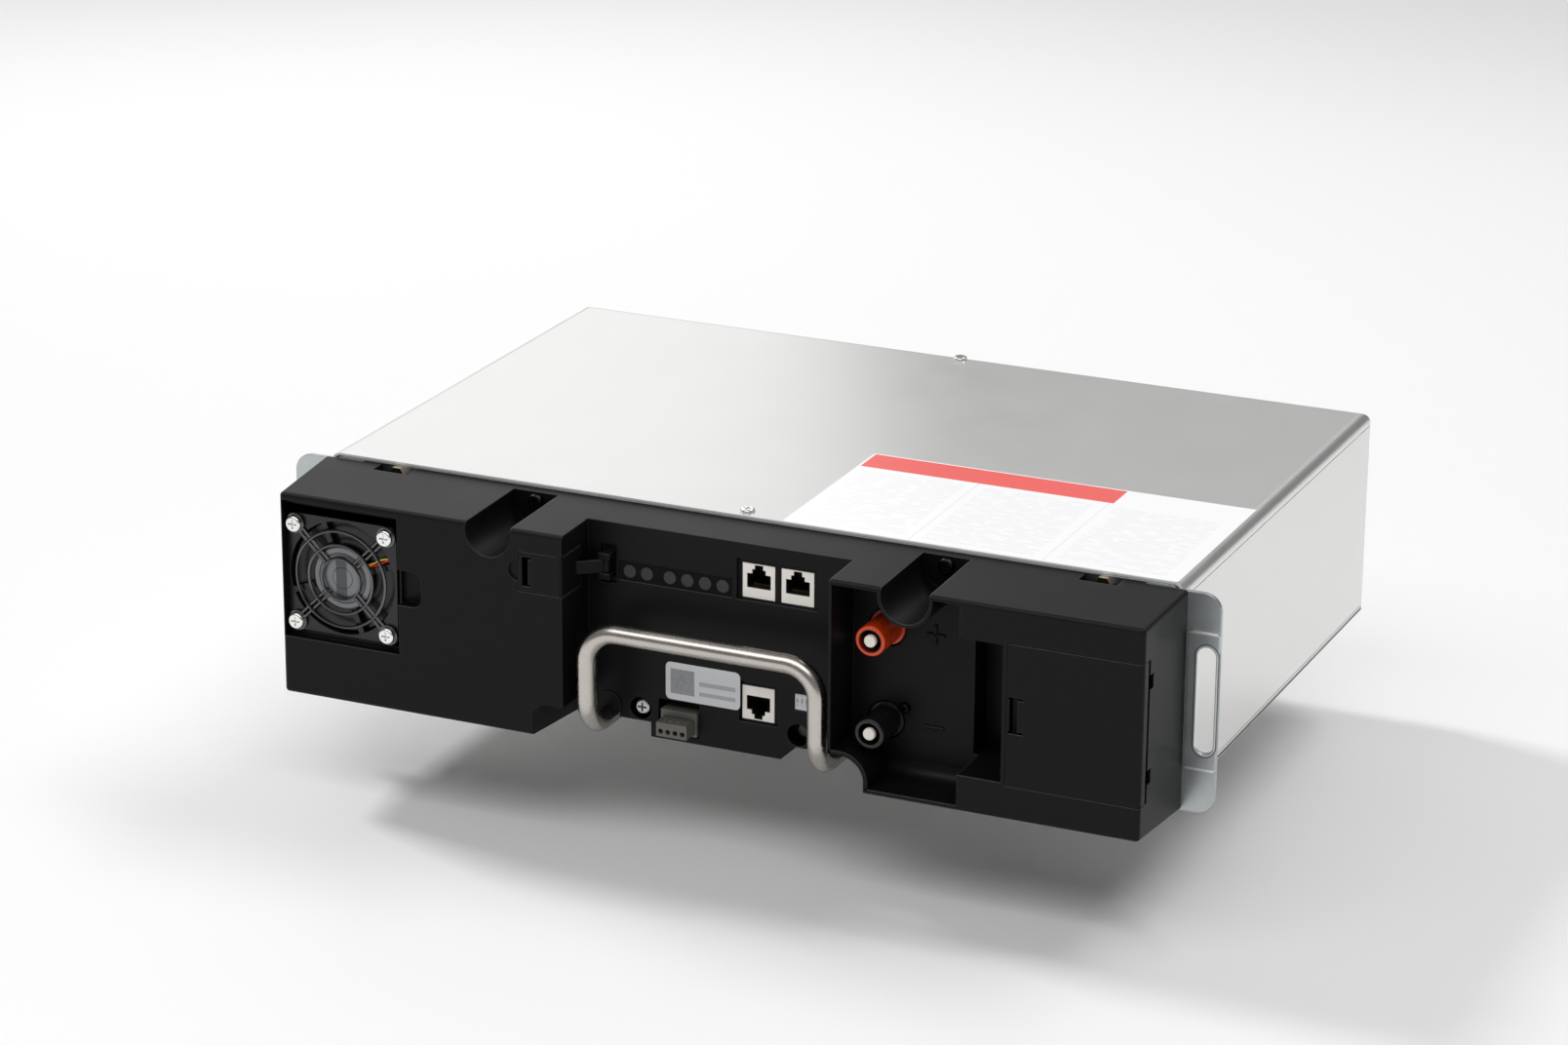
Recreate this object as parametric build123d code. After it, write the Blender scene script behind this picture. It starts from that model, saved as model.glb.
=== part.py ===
"""Rack-mount battery module: folded steel case, moulded front cover, fan, handle, connectors and cell pack.

The origin is the centre of the steel case's underside, X to the right, Y to the back and Z up, in millimetres.
Places on the front are given as x, z and d, where d is the distance ahead of the rack ears' front face.
"""

import os

from build123d import *

# Rack width over the ears, and the case's clearance inside the rack on each side
RACK_WIDTH = 482.6
RACK_CLEARANCE = 18.8

# Steel case
BOX_WIDTH = RACK_WIDTH - 2 * RACK_CLEARANCE
HALF_WIDTH = BOX_WIDTH / 2
BOX_DEPTH = 279.5
BOX_HEIGHT = 107.9
SHEET = 1.2
TOP_FOLD = 5.5
BASE_FOLD = 1.5
TOP_FLANGE = 6.9
BASE_FLANGE = 3.7
SEAM = 0.3
FIT = 0.25

# Rack ears
EAR_SHEET = 2.0
EAR_INNER = HALF_WIDTH - 18.5
EAR_LOW = -2.5
EAR_HIGH = BOX_HEIGHT - 2.3
EAR_CORNER = 9.0
EAR_SLOT_WIDTH = 10.6
EAR_SLOT_LENGTH = 53.0
EAR_SLOT_X = RACK_WIDTH / 2 - 6.7
EAR_SLOT_Z = BOX_HEIGHT / 2 - 0.35
EAR_RIM = 2.6
EAR_RIM_RISE = 0.8
EAR_RIVET_X = EAR_INNER + 9.0
EAR_RIVET_Z = (24.0, BOX_HEIGHT - 23.9)
RIVET_RADIUS = 2.4

FRONT = -BOX_DEPTH / 2
FACE = FRONT - EAR_SHEET

# Front cover
WALL = 2.2
COVER_DEPTH = 54.7
COVER_REAR = (-HALF_WIDTH - 2.2, HALF_WIDTH + 2.5, -2.7, BOX_HEIGHT - 1.9)
COVER_FRONT = (-HALF_WIDTH + 3.3, HALF_WIDTH + 1.8, 2.0, BOX_HEIGHT - 2.9)
COVER_SOFT = 2.0
BEYOND = COVER_DEPTH + 20.0

# Middle recess with the connectors
MID_LEFT = -67.0
MID_RIGHT = 70.4
MID_PANEL = 26.7
MID_LOW = 7.0
LOBE_LEFT = -34.0
LOBE_RIGHT = 42.0
LOBE_SLOPE = 9.6
NOTCH_LEFT = -83.5
NOTCH_LEFT_TOP = 18.5
NOTCH_LEFT_SOFT = 6.0
NOTCH_RIGHT = 88.5
NOTCH_RIGHT_TOP = 19.2
NOTCH_RIGHT_SOFT = 12.0

# Power terminal recess and the cable duct beside it
TERM_LEFT = 71.6
TERM_RIGHT = 135.0
TERM_PANEL = 28.5
TERM_LOW = 4.6
TERM_ROOF = 2.2
TERM_FLOOR_SOFT = 7.0
DUCT_LEFT = 132.8
DUCT_PANEL = 13.0
DUCT_LOW = 19.8
DUCT_TOP = BOX_HEIGHT - 20.9
POST_LEFT = 156.6
POST_WIDTH = 2.0
POST_DEPTH = 9.0
BAND_SOFT = 3.0

# Cable door on the right corner
DOOR_GAP = 0.35
DOOR_SHEET = 2.0
DOOR_LEFT = POST_LEFT + POST_WIDTH
DOOR_LOW = DUCT_LOW - 1.3
DOOR_TOP = DUCT_TOP + 1.3
DOOR_WRAP = 6.1
DOOR_RELIEF = 2.3
DOOR_AXIS_X = HALF_WIDTH - 2.5
DOOR_AXIS_D = COVER_DEPTH - 10.9
DOOR_ARM_Z = (DOOR_LOW + 12.2, DOOR_TOP - 11.3)
DOOR_ARM_HEIGHT = 6.6
DOOR_ARM_SHEET = 2.0
HINGE_PIN_RADIUS = 1.5
HINGE_PLAY = 0.06
HINGE_EAR = 2.4
LATCH_SLOT_WIDTH = 4.0
LATCH_SLOT_HEIGHT = 16.5
LATCH_SERIF = 7.4

# Comms door on the left block's corner
COMM_LEFT = MID_LEFT - 23.0
COMM_TOP = BOX_HEIGHT - 13.0
COMM_LOW = COMM_TOP - 20.5
COMM_WRAP = 20.0
COMM_AXIS_X = MID_LEFT + 11.0
COMM_AXIS_D = 29.3
COMM_STRAP_LOW = COMM_TOP - 13.7
COMM_STRAP_HEIGHT = 6.4
COMM_NICHE = (COMM_AXIS_X - 4.3, COMM_AXIS_X + 4.0, COMM_LOW + 0.4, COMM_TOP - 0.7)
COMM_NICHE_DEPTH = 1.6
COMM_LUG = 3.0
FINGER_RADIUS = 5.2

# Screwdriver channels and rear notches on top of the cover
CHANNEL_X = (-106.0, 108.0)
CHANNEL_RADIUS = 12.0
CHANNEL_FLOOR = BOX_HEIGHT - 18.9
CHANNEL_END = 4.0
CHANNEL_WALL = 1.6
EARTH_X = (38.5 - HALF_WIDTH, HALF_WIDTH - 38.5)
EARTH_Z = BOX_HEIGHT - 5.3
EARTH_NOTCH_WIDTH = 19.0
EARTH_NOTCH_DEPTH = 8.0
EARTH_NOTCH_FLOOR = EARTH_Z - 6.1

# Fan
FAN_X = 34.5 - HALF_WIDTH
FAN_Z = BOX_HEIGHT - 43.9
FAN_SIZE = 60.0
FAN_DEPTH = 15.0
FAN_FRONT = COVER_DEPTH - 4.7
FAN_BORE = 57.4
FAN_HOLES = 50.0
FAN_HOLE_RADIUS = 2.2
FAN_HUB_RADIUS = 16.0
FAN_HUB_PLATE = 2.2
FAN_SHAFT_RADIUS = 1.5
FAN_PLAY = 0.06
FAN_BLADES = 7
FAN_TIP_GAP = 0.9
FAN_POCKET = (FAN_X - 30.2, FAN_X + 33.0, FAN_Z - 32.6, FAN_Z + 37.4)
FAN_INNER = (FAN_X - 30.2, FAN_X + 31.4, FAN_Z - 30.4, FAN_Z + 34.6)
FAN_STEP = 2.2
GUARD_WIRE = 0.8
GUARD_RINGS = (10.5, 17.5, 24.5)
GUARD_PAIR = 2.4
SCOOP = (FAN_X + 32.5, FAN_X + 45.5, FAN_Z - 7.0, FAN_Z + 11.0)
SCOOP_DEPTH = 7.0

# Handle
HANDLE_RADIUS = 5.0
HANDLE_LEFT = -56.4
HANDLE_RIGHT = 59.6
HANDLE_REACH = 50.0
HANDLE_TOP = 56.4
HANDLE_FOOT = 12.2
HANDLE_BEND = 16.0
HANDLE_STUD_RADIUS = 3.0
HANDLE_STUD = 9.0
NUT_FLATS = 10.0
NUT_HEIGHT = 5.0

# Connectors in the middle panel
JACK_WIDTH = 16.6
JACK_HEIGHT = 17.0
JACK_DEPTH = 21.0
JACK_GAP = 0.3
JACK_SINK = 1.4
JACK_UPPER_X = (21.7, 41.7)
JACK_UPPER_Z = BOX_HEIGHT - 21.2
JACK_LOWER_X = 21.7
JACK_LOWER_Z = 25.2
JACK_MARGIN = 2.2
PORT_WIDTH = 12.2
PORT_HEIGHT = 7.2
PORT_DEPTH = 14.0
PORT_STEPS = ((7.0, 2.2), (4.3, 4.4))
LAMP_X = (-45.0, -36.0, -24.0, -14.8, -5.6, 3.6)
LAMP_Z = BOX_HEIGHT - 25.9
LAMP_RADIUS = 3.2
WINDOW = (-51.0, 8.6, LAMP_Z - 4.8, LAMP_Z + 4.8)
WINDOW_SHEET = 0.8
POLE_PITCH = 3.81
POLES = 4
PLUG_X = -18.9
PLUG_Z = 8.2
PLUG_HEIGHT = 7.2
PLUG_FRONT = 36.0
HEADER_HEIGHT = 12.0
HEADER_DEPTH = 20.0
HEADER_OPENING = (-30.0, -8.6, 2.4, 20.0)
SWITCH_X = 46.0
SWITCH_Z = 30.0
SWITCH_WIDTH = 10.0
SWITCH_HEIGHT = 8.0

# Power terminals
PIN_X = 88.7
PLUS_Z = BOX_HEIGHT - 32.1
MINUS_Z = 29.8
SLEEVE_RADIUS = 7.4
SLEEVE_BORE = 5.4
SLEEVE_FRONT = 49.0
SLEEVE_FLANGE = 8.6
SLEEVE_FLANGE_SHEET = 2.0
WELL_RADIUS = 9.6
WELL_DEPTH = 2.4
PIN_RADIUS = 3.0
PIN_CAP = 1.6
CONNECTOR_HEAD = 2.6
CONNECTOR_SHANK = 1.2
CONNECTOR_SPREAD = (9.6, 7.6)

# Screws
SCREW_HEAD = 4.0
SCREW_SHANK = 2.0
SCREW_HEAD_HEIGHT = 2.4
FLANGE_SCREW_X = (-39.5, 43.0)
FLANGE_SCREW_Z = 13.2
FLANGE_WELL = 5.6
FLANGE_WELL_DEPTH = 9.0
TOP_SCREW_RADIUS = 3.6
TOP_SCREW_Y = (7.0, BOX_DEPTH - 5.5)

# Cell pack
CELLS = 14
CELL_LENGTH = BOX_WIDTH - 89.0
CELL_HEIGHT = BOX_HEIGHT - 10.9
CELL_SEAL = 6.0
CELL_TAB = 36.0
PAD = 1.6
END_PLATE = 4.0
PACK_BACK_GAP = 8.0
FRONT_BAY = 66.3
LINER = 0.6
LINER_GAP = 0.4
ROD_RADIUS = 2.5
ROD_X = HALF_WIDTH - 26.5
ROD_Z = (16.0, BOX_HEIGHT - 15.9)
LINK_SHEET = 1.5

# Electronics
BOARD = 1.6
BOARD_Z = 34.0
BOARD_BACK_GAP = 6.0
BOARD_BAR_GAP = 7.2
BAR_SHEET = 2.0
BAR_HEIGHT = 16.0
FUSE_X = (HALF_WIDTH - 64.5, HALF_WIDTH - 44.5)
SHUNT_X = (HALF_WIDTH - 102.5, HALF_WIDTH - 65.5)
CONTACTOR_X = (26.5 - HALF_WIDTH, 66.5 - HALF_WIDTH)
CONTACTOR_DEPTH = 34.0
CONTACTOR_TOP = 62.0
CONTACTOR_STUD = 4.0
BOARD_X = (92.5 - HALF_WIDTH, HALF_WIDTH - 62.5)
SINK_FINS = 9
SINK_PITCH = 9.4
SINK_FIN = 1.6
SINK_HEIGHT = 16.0
INTERFACE = (-48.0, 53.0, 10.0, BOX_HEIGHT - 8.9)
STANDOFFS = ((-40.0, 40.0), (-40.0, BOX_HEIGHT - 14.9), (34.0, 42.0), (34.0, BOX_HEIGHT - 41.9))
STANDOFF_RADIUS = 3.0

PACK_BACK = BOX_DEPTH / 2 - SHEET - PACK_BACK_GAP - END_PLATE
PACK_FRONT = FRONT + FRONT_BAY
PITCH = (PACK_BACK - PACK_FRONT + PAD) / CELLS
CELL_THICK = PITCH - PAD
PACK_LOW = SHEET + LINER_GAP + LINER
BAR_FRONT = FRONT + 10.0
BAR_BACK = BAR_FRONT + BAR_SHEET
BOARD_FRONT = BAR_BACK + BOARD_BAR_GAP
BOARD_BACK = PACK_FRONT - END_PLATE - BOARD_BACK_GAP
JACK_FRONT = MID_PANEL - JACK_SINK
JACK_BACK = JACK_FRONT - JACK_DEPTH
FAN_BACK = FAN_FRONT - FAN_DEPTH
DOOR_RIGHT_INNER = COVER_FRONT[1] - WALL


def front_plane(d):
    """Vertical sketch plane at d ahead of the ears, with x to the right and y up."""
    return Plane(origin=(0, FACE - d, 0), x_dir=(1, 0, 0), z_dir=(0, -1, 0))


def prism(sketch, d0, d1):
    return extrude(front_plane(d0) * sketch, d1 - d0)


def plate(x0, x1, z0, z1, d0, d1):
    return prism(Pos((x0 + x1) / 2, (z0 + z1) / 2) * Rectangle(x1 - x0, z1 - z0), d0, d1)


def rod(radius, x, z, d0, d1):
    return prism(Pos(x, z) * Circle(radius), d0, d1)


def block(x0, x1, y0, y1, z0, z1):
    return Pos((x0 + x1) / 2, (y0 + y1) / 2, (z0 + z1) / 2) * Box(x1 - x0, y1 - y0, z1 - z0)


def post(radius, x, y, z0, z1):
    return Pos(x, y, (z0 + z1) / 2) * Cylinder(radius, z1 - z0)


def outline(*points):
    return make_face(Polyline(*points, close=True))


def group(pieces):
    """Separate solids of one kind, kept apart in one node."""
    return Compound([solid for piece in pieces for solid in piece.solids()])


# ---------------------------------------------------------------- steel case


def case_box(inset):
    """The case's outer form with its folded top and base edges, or its inside when inset."""
    open_end = 1.0 if inset else 0.0
    body = block(
        inset - BOX_WIDTH / 2,
        BOX_WIDTH / 2 - inset,
        FRONT - open_end,
        BOX_DEPTH / 2 - inset,
        inset,
        BOX_HEIGHT - inset,
    )
    top = body.edges().group_by(Axis.Z)[-1].sort_by(Axis.Y)[1:]
    body = fillet(top, TOP_FOLD - inset)
    base = body.edges().group_by(Axis.Z)[0].sort_by(Axis.Y)[1:]
    return fillet(base, BASE_FOLD - inset)


def case_slice(z0, z1):
    shell = case_box(0.0) - case_box(SHEET)
    return shell & block(-BOX_WIDTH, BOX_WIDTH, -BOX_DEPTH, BOX_DEPTH, z0, z1)


def top_screw_places():
    return [(0.0, FRONT + TOP_SCREW_Y[0]), (0.0, FRONT + TOP_SCREW_Y[1])]


def top_cover():
    cover = case_slice(BOX_HEIGHT - TOP_FLANGE, BOX_HEIGHT)
    for x, y in top_screw_places():
        cover -= post(SCREW_SHANK + FIT, x, y, BOX_HEIGHT - 3, BOX_HEIGHT + 1)
    return cover


def side_wrap():
    """Both side walls and the back, folded from one sheet."""
    return case_slice(BASE_FLANGE + SEAM, BOX_HEIGHT - TOP_FLANGE - SEAM)


def bottom_cover():
    return case_slice(0.0, BASE_FLANGE)


def top_cover_screws():
    screws = []
    for x, y in top_screw_places():
        head = post(TOP_SCREW_RADIUS, x, y, BOX_HEIGHT, BOX_HEIGHT + 1.4)
        head = fillet(head.edges().group_by(Axis.Z)[-1], 0.9)
        head -= block(x - 2, x + 2, y - 0.4, y + 0.4, BOX_HEIGHT + 0.6, BOX_HEIGHT + 3)
        head -= block(x - 0.4, x + 0.4, y - 2, y + 2, BOX_HEIGHT + 0.6, BOX_HEIGHT + 3)
        screws.append(head + post(SCREW_SHANK, x, y, BOX_HEIGHT - 5, BOX_HEIGHT))
    return group(screws)


def front_plate():
    """Steel front wall that the cover, the ears, the handle and the connectors fasten to."""
    half = BOX_WIDTH / 2 - SHEET - FIT
    low = SHEET + FIT
    high = BOX_HEIGHT - SHEET - FIT
    sheet = Pos(0, (low + high) / 2) * Rectangle(2 * half, high - low)
    sheet = fillet(sheet.vertices().group_by(Axis.Y)[-1], TOP_FOLD)
    sheet -= Pos(FAN_X, FAN_Z) * Circle(FAN_BORE / 2)
    window_low = INTERFACE[2] + 18
    window_high = INTERFACE[3] - 8
    sheet -= Pos(0, (window_low + window_high) / 2) * Rectangle(50, window_high - window_low)
    for z in (PLUS_Z, MINUS_Z):
        sheet -= Pos(PIN_X, z) * Circle(SLEEVE_RADIUS)
    for x in (HANDLE_LEFT, HANDLE_RIGHT):
        sheet -= Pos(x, HANDLE_FOOT) * Circle(HANDLE_STUD_RADIUS + FIT)
    for x in CHANNEL_X:
        sheet -= Pos(x, CHANNEL_FLOOR + CHANNEL_RADIUS) * Circle(SCREW_SHANK + FIT)
    for x in EARTH_X:
        sheet -= Pos(x, EARTH_Z) * Circle(SCREW_SHANK + FIT)
    for x in FLANGE_SCREW_X:
        sheet -= Pos(x, FLANGE_SCREW_Z) * Circle(SCREW_SHANK + FIT)
    for x in (-EAR_RIVET_X, EAR_RIVET_X):
        for z in EAR_RIVET_Z:
            sheet -= Pos(x, z) * Circle(RIVET_RADIUS)
    for x, z in STANDOFFS:
        sheet -= Pos(x, z) * Circle(SCREW_SHANK * 0.6)
    return prism(sheet, -EAR_SHEET - SHEET, -EAR_SHEET)


# ----------------------------------------------------------------- rack ears


def rack_ear(side):
    """Flat ear with rounded outer corners, one long slot and a raised rim around it."""
    outer = RACK_WIDTH / 2
    high = EAR_HIGH - EAR_LOW
    sheet = Pos((EAR_INNER + outer) / 2, (EAR_HIGH + EAR_LOW) / 2) * Rectangle(outer - EAR_INNER, high)
    sheet = fillet(sheet.vertices().group_by(Axis.X)[-1], EAR_CORNER)
    slot = Pos(EAR_SLOT_X, EAR_SLOT_Z) * Rot(0, 0, 90) * SlotOverall(EAR_SLOT_LENGTH, EAR_SLOT_WIDTH)
    rim = Pos(EAR_SLOT_X, EAR_SLOT_Z) * Rot(0, 0, 90) * SlotOverall(
        EAR_SLOT_LENGTH + 2 * EAR_RIM, EAR_SLOT_WIDTH + 2 * EAR_RIM - 1.0
    )
    for z in EAR_RIVET_Z:
        sheet -= Pos(EAR_RIVET_X, z) * Circle(RIVET_RADIUS)
    sheet -= Pos(EARTH_X[1], EARTH_Z) * Circle(SCREW_HEAD + FIT)
    ear = prism(sheet - slot, -EAR_SHEET, 0) + prism(rim - slot, -0.1, EAR_RIM_RISE)
    return ear if side > 0 else mirror(ear, about=Plane.YZ)


def ear_rivets():
    rivets = []
    for x in (-EAR_RIVET_X, EAR_RIVET_X):
        for z in EAR_RIVET_Z:
            shank = rod(RIVET_RADIUS, x, z, -EAR_SHEET - SHEET, 0)
            tail = rod(RIVET_RADIUS + 1.4, x, z, -EAR_SHEET - SHEET - 1.2, -EAR_SHEET - SHEET)
            rivets.append(shank + tail)
    return group(rivets)


# --------------------------------------------------------------- front cover


def cover_rim(inset, d):
    """The cover's rectangle at d, on the straight taper from the ears to the front."""
    share = d / COVER_DEPTH
    x0, x1, z0, z1 = (rear + (front - rear) * share for rear, front in zip(COVER_REAR, COVER_FRONT))
    x0, x1, z0, z1 = x0 + inset, x1 - inset, z0 + inset, z1 - inset
    return front_plane(d) * (Pos((x0 + x1) / 2, (z0 + z1) / 2) * Rectangle(x1 - x0, z1 - z0))


def cover_form():
    body = loft([cover_rim(0.0, -EAR_SHEET), cover_rim(0.0, COVER_DEPTH)])
    rims = body.edges().group_by(Axis.Y)
    soft = [edge for ring in rims[:-1] for edge in ring]
    return fillet(soft, COVER_SOFT)


def middle_recess(grow):
    return plate(MID_LEFT - grow, MID_RIGHT + min(grow, TERM_LEFT - MID_RIGHT), -20, 130, MID_PANEL - grow, BEYOND)


def terminal_recess(grow):
    roof = COVER_FRONT[3] - TERM_ROOF
    body = plate(TERM_LEFT - grow, TERM_RIGHT + grow, TERM_LOW - grow, roof + grow, TERM_PANEL - grow, BEYOND)
    heel = body.edges().filter_by(Axis.X).sort_by(lambda e: e.center().Z - e.center().Y)[0]
    return fillet(heel, TERM_FLOOR_SOFT)


def cable_duct(grow):
    return plate(
        DUCT_LEFT - grow, DOOR_RIGHT_INNER, DUCT_LOW - grow, DUCT_TOP + grow, DUCT_PANEL - grow, BEYOND
    )


def underside_left(grow):
    """Room under the left block's corner and the middle panel for the handle's left leg."""
    shape = outline(
        (NOTCH_LEFT, -20), (NOTCH_LEFT, NOTCH_LEFT_TOP), (MID_LEFT, NOTCH_LEFT_TOP),
        (MID_LEFT, MID_LOW), (LOBE_LEFT, MID_LOW), (LOBE_LEFT, -20),
    )
    corner = shape.vertices().sort_by(lambda v: v.X - v.Y)[0]
    shape = fillet(corner, NOTCH_LEFT_SOFT)
    if grow:
        shape = offset(shape, amount=grow, kind=Kind.INTERSECTION)
    return prism(shape, -EAR_SHEET - 1, BEYOND)


def underside_right(grow):
    """Room under the middle panel and the terminal recess's corner for the handle's right leg."""
    drop = MID_LOW + 20
    shape = outline(
        (LOBE_RIGHT - drop * LOBE_SLOPE / 9, -20), (LOBE_RIGHT, MID_LOW), (MID_RIGHT, MID_LOW),
        (MID_RIGHT, NOTCH_RIGHT_TOP), (NOTCH_RIGHT, NOTCH_RIGHT_TOP), (NOTCH_RIGHT, -20),
    )
    corner = shape.vertices().sort_by(lambda v: -v.X - v.Y)[0]
    shape = fillet(corner, NOTCH_RIGHT_SOFT)
    if grow:
        shape = offset(shape, amount=grow, kind=Kind.INTERSECTION)
    return prism(shape, -EAR_SHEET - 1, BEYOND)


def channel(x, grow):
    """Half-round screwdriver channel that runs back from the front edge."""
    centre = CHANNEL_FLOOR + CHANNEL_RADIUS
    radius = CHANNEL_RADIUS + grow
    shape = Pos(x, centre) * Circle(radius) + Pos(x, centre + 15) * Rectangle(2 * radius, 30)
    return prism(shape, CHANNEL_END - grow, BEYOND)


def earth_notch(x, grow):
    half = EARTH_NOTCH_WIDTH / 2 + grow
    return plate(x - half, x + half, EARTH_NOTCH_FLOOR - grow, 130, -EAR_SHEET - 1, EARTH_NOTCH_DEPTH + grow)


def fan_pocket(grow):
    x0, x1, z0, z1 = FAN_POCKET
    u0, u1, w0, w1 = FAN_INNER
    step = plate(x0, x1 + grow, z0 - grow, z1 + grow, FAN_FRONT - grow, BEYOND)
    well = plate(u0, u1 + grow, w0 - grow, w1 + grow, FAN_BACK - grow, BEYOND)
    return step + well


def scoop(grow):
    x0, x1, z0, z1 = SCOOP
    shape = Pos((x0 + x1) / 2, (z0 + z1) / 2) * Rectangle(x1 - x0 + 2 * grow, z1 - z0 + 2 * grow)
    shape = fillet(shape.vertices().group_by(Axis.X)[-1], 5.0)
    return prism(shape, COVER_DEPTH - SCOOP_DEPTH - grow, BEYOND)


def terminal_well(z, grow):
    return rod(WELL_RADIUS + grow, PIN_X, z, TERM_PANEL - WELL_DEPTH - grow, TERM_PANEL + 1)


def flange_well(x, grow):
    return rod(
        FLANGE_WELL + grow, x, FLANGE_SCREW_Z, MID_PANEL - FLANGE_WELL_DEPTH - grow, BEYOND
    )


def hollows(grow):
    spaces = [
        middle_recess(grow), terminal_recess(grow), cable_duct(grow), underside_left(grow),
        underside_right(grow), fan_pocket(grow), scoop(grow),
    ]
    spaces += [channel(x, grow) for x in CHANNEL_X]
    spaces += [earth_notch(x, grow) for x in EARTH_X]
    spaces += [terminal_well(z, grow) for z in (PLUS_Z, MINUS_Z)]
    spaces += [flange_well(x, grow) for x in FLANGE_SCREW_X]
    return spaces


def door_seat():
    """Rebate for the cable door across the front and around the corner."""
    front = plate(
        DOOR_LEFT, COVER_REAR[1] + 5, DOOR_LOW, DOOR_TOP, COVER_DEPTH - DOOR_SHEET - 0.4, BEYOND
    )
    corner = plate(
        DOOR_RIGHT_INNER - 0.01, COVER_REAR[1] + 5, DOOR_LOW, DOOR_TOP,
        COVER_DEPTH - DOOR_WRAP - DOOR_RELIEF, BEYOND,
    )
    return front + corner


def hinge_slots():
    """Slots in the right wall that the door's two arms swing through."""
    half = DOOR_ARM_HEIGHT / 2 + DOOR_GAP
    back = DOOR_AXIS_D - DOOR_ARM_SHEET / 2 - 0.7
    slots = [
        plate(DOOR_RIGHT_INNER - 1, COVER_REAR[1] + 5, z - half, z + half, back, COVER_DEPTH)
        for z in DOOR_ARM_Z
    ]
    return slots[0] + slots[1]


def hinge_ears():
    """Ears inside the right wall, one above and one below each arm, bored for its pin."""
    half = DOOR_ARM_HEIGHT / 2 + DOOR_GAP
    bore = HINGE_PIN_RADIUS + HINGE_PLAY
    ears = []
    for z in DOOR_ARM_Z:
        for low in (z + half, z - half - HINGE_EAR):
            ear = plate(
                DOOR_AXIS_X - 3.4, DOOR_RIGHT_INNER + 0.5, low, low + HINGE_EAR,
                DOOR_AXIS_D - 3.2, DOOR_AXIS_D + 3.2,
            )
            ears.append(ear - post(bore, DOOR_AXIS_X, FACE - DOOR_AXIS_D, low - 1, low + HINGE_EAR + 1))
    return ears


def comm_opening():
    """Opening for the comms door through the left block's front and its side towards the middle."""
    front = plate(COMM_LEFT, MID_LEFT + 3, COMM_LOW, COMM_TOP, COVER_DEPTH - WALL - 1, BEYOND)
    side = plate(
        MID_LEFT - WALL - 1, MID_LEFT + 3, COMM_LOW, COMM_TOP, COVER_DEPTH - COMM_WRAP - DOOR_GAP, BEYOND
    )
    finger = prism(
        Pos(COMM_LEFT, (COMM_LOW + COMM_TOP) / 2) * Circle(FINGER_RADIUS), COVER_DEPTH - 1.2, BEYOND
    )
    return front + side + finger


def comm_lugs():
    """Two lugs on the middle panel that carry the comms door's pin."""
    low = COMM_STRAP_LOW - DOOR_GAP
    high = COMM_STRAP_LOW + COMM_STRAP_HEIGHT + DOOR_GAP
    bore = HINGE_PIN_RADIUS + HINGE_PLAY
    lugs = []
    for z in (low - COMM_LUG, high):
        lug = plate(
            COMM_AXIS_X - 2.9, COMM_AXIS_X + 2.9, z, z + COMM_LUG,
            MID_PANEL - COMM_NICHE_DEPTH - 0.5, COMM_AXIS_D + 2.7,
        )
        lugs.append(lug - post(bore, COMM_AXIS_X, FACE - COMM_AXIS_D, z - 1, z + COMM_LUG + 1))
    return lugs


def jack_places():
    """Each jack's x, z and whether its latch is up."""
    upper = [(x, JACK_UPPER_Z, True) for x in JACK_UPPER_X]
    return upper + [(JACK_LOWER_X, JACK_LOWER_Z, False)]


def panel_openings():
    """Cuts in the middle panel for the jacks, the status window, the header, the switch and the handle."""
    half_w = JACK_WIDTH / 2 + JACK_GAP
    half_h = JACK_HEIGHT / 2 + JACK_GAP
    back = MID_PANEL - WALL - 1
    cuts = [
        plate(
            JACK_UPPER_X[0] - half_w - JACK_MARGIN, JACK_UPPER_X[1] + half_w + JACK_MARGIN,
            JACK_UPPER_Z - half_h - 0.8, JACK_UPPER_Z + half_h + JACK_MARGIN, JACK_FRONT - 0.3, BEYOND,
        ),
        plate(
            JACK_LOWER_X - half_w - 0.8, JACK_LOWER_X + half_w + JACK_MARGIN,
            JACK_LOWER_Z - half_h - 0.8, JACK_LOWER_Z + half_h + JACK_MARGIN, JACK_FRONT - 0.3, BEYOND,
        ),
        plate(*WINDOW, MID_PANEL - WINDOW_SHEET, BEYOND),
        plate(*HEADER_OPENING, back, BEYOND),
        plate(
            SWITCH_X - SWITCH_WIDTH / 2 - FIT, SWITCH_X + SWITCH_WIDTH / 2 + FIT,
            SWITCH_Z - SWITCH_HEIGHT / 2 - FIT, SWITCH_Z + SWITCH_HEIGHT / 2 + FIT, back, BEYOND,
        ),
        plate(*COMM_NICHE, MID_PANEL - COMM_NICHE_DEPTH, BEYOND),
    ]
    for x, z, _ in jack_places():
        cuts.append(plate(x - half_w, x + half_w, z - half_h, z + half_h, back, BEYOND))
    for x in LAMP_X:
        cuts.append(rod(LAMP_RADIUS + 0.3, x, LAMP_Z, back, BEYOND))
    for x in (HANDLE_LEFT, HANDLE_RIGHT):
        gap = HANDLE_RADIUS + 0.8
        slot = Pos(x, HANDLE_FOOT) * Circle(gap) + Pos(x, HANDLE_FOOT - 15) * Rectangle(2 * gap, 30)
        cuts.append(prism(slot, -EAR_SHEET - 1, BEYOND))
    return cuts


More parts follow.
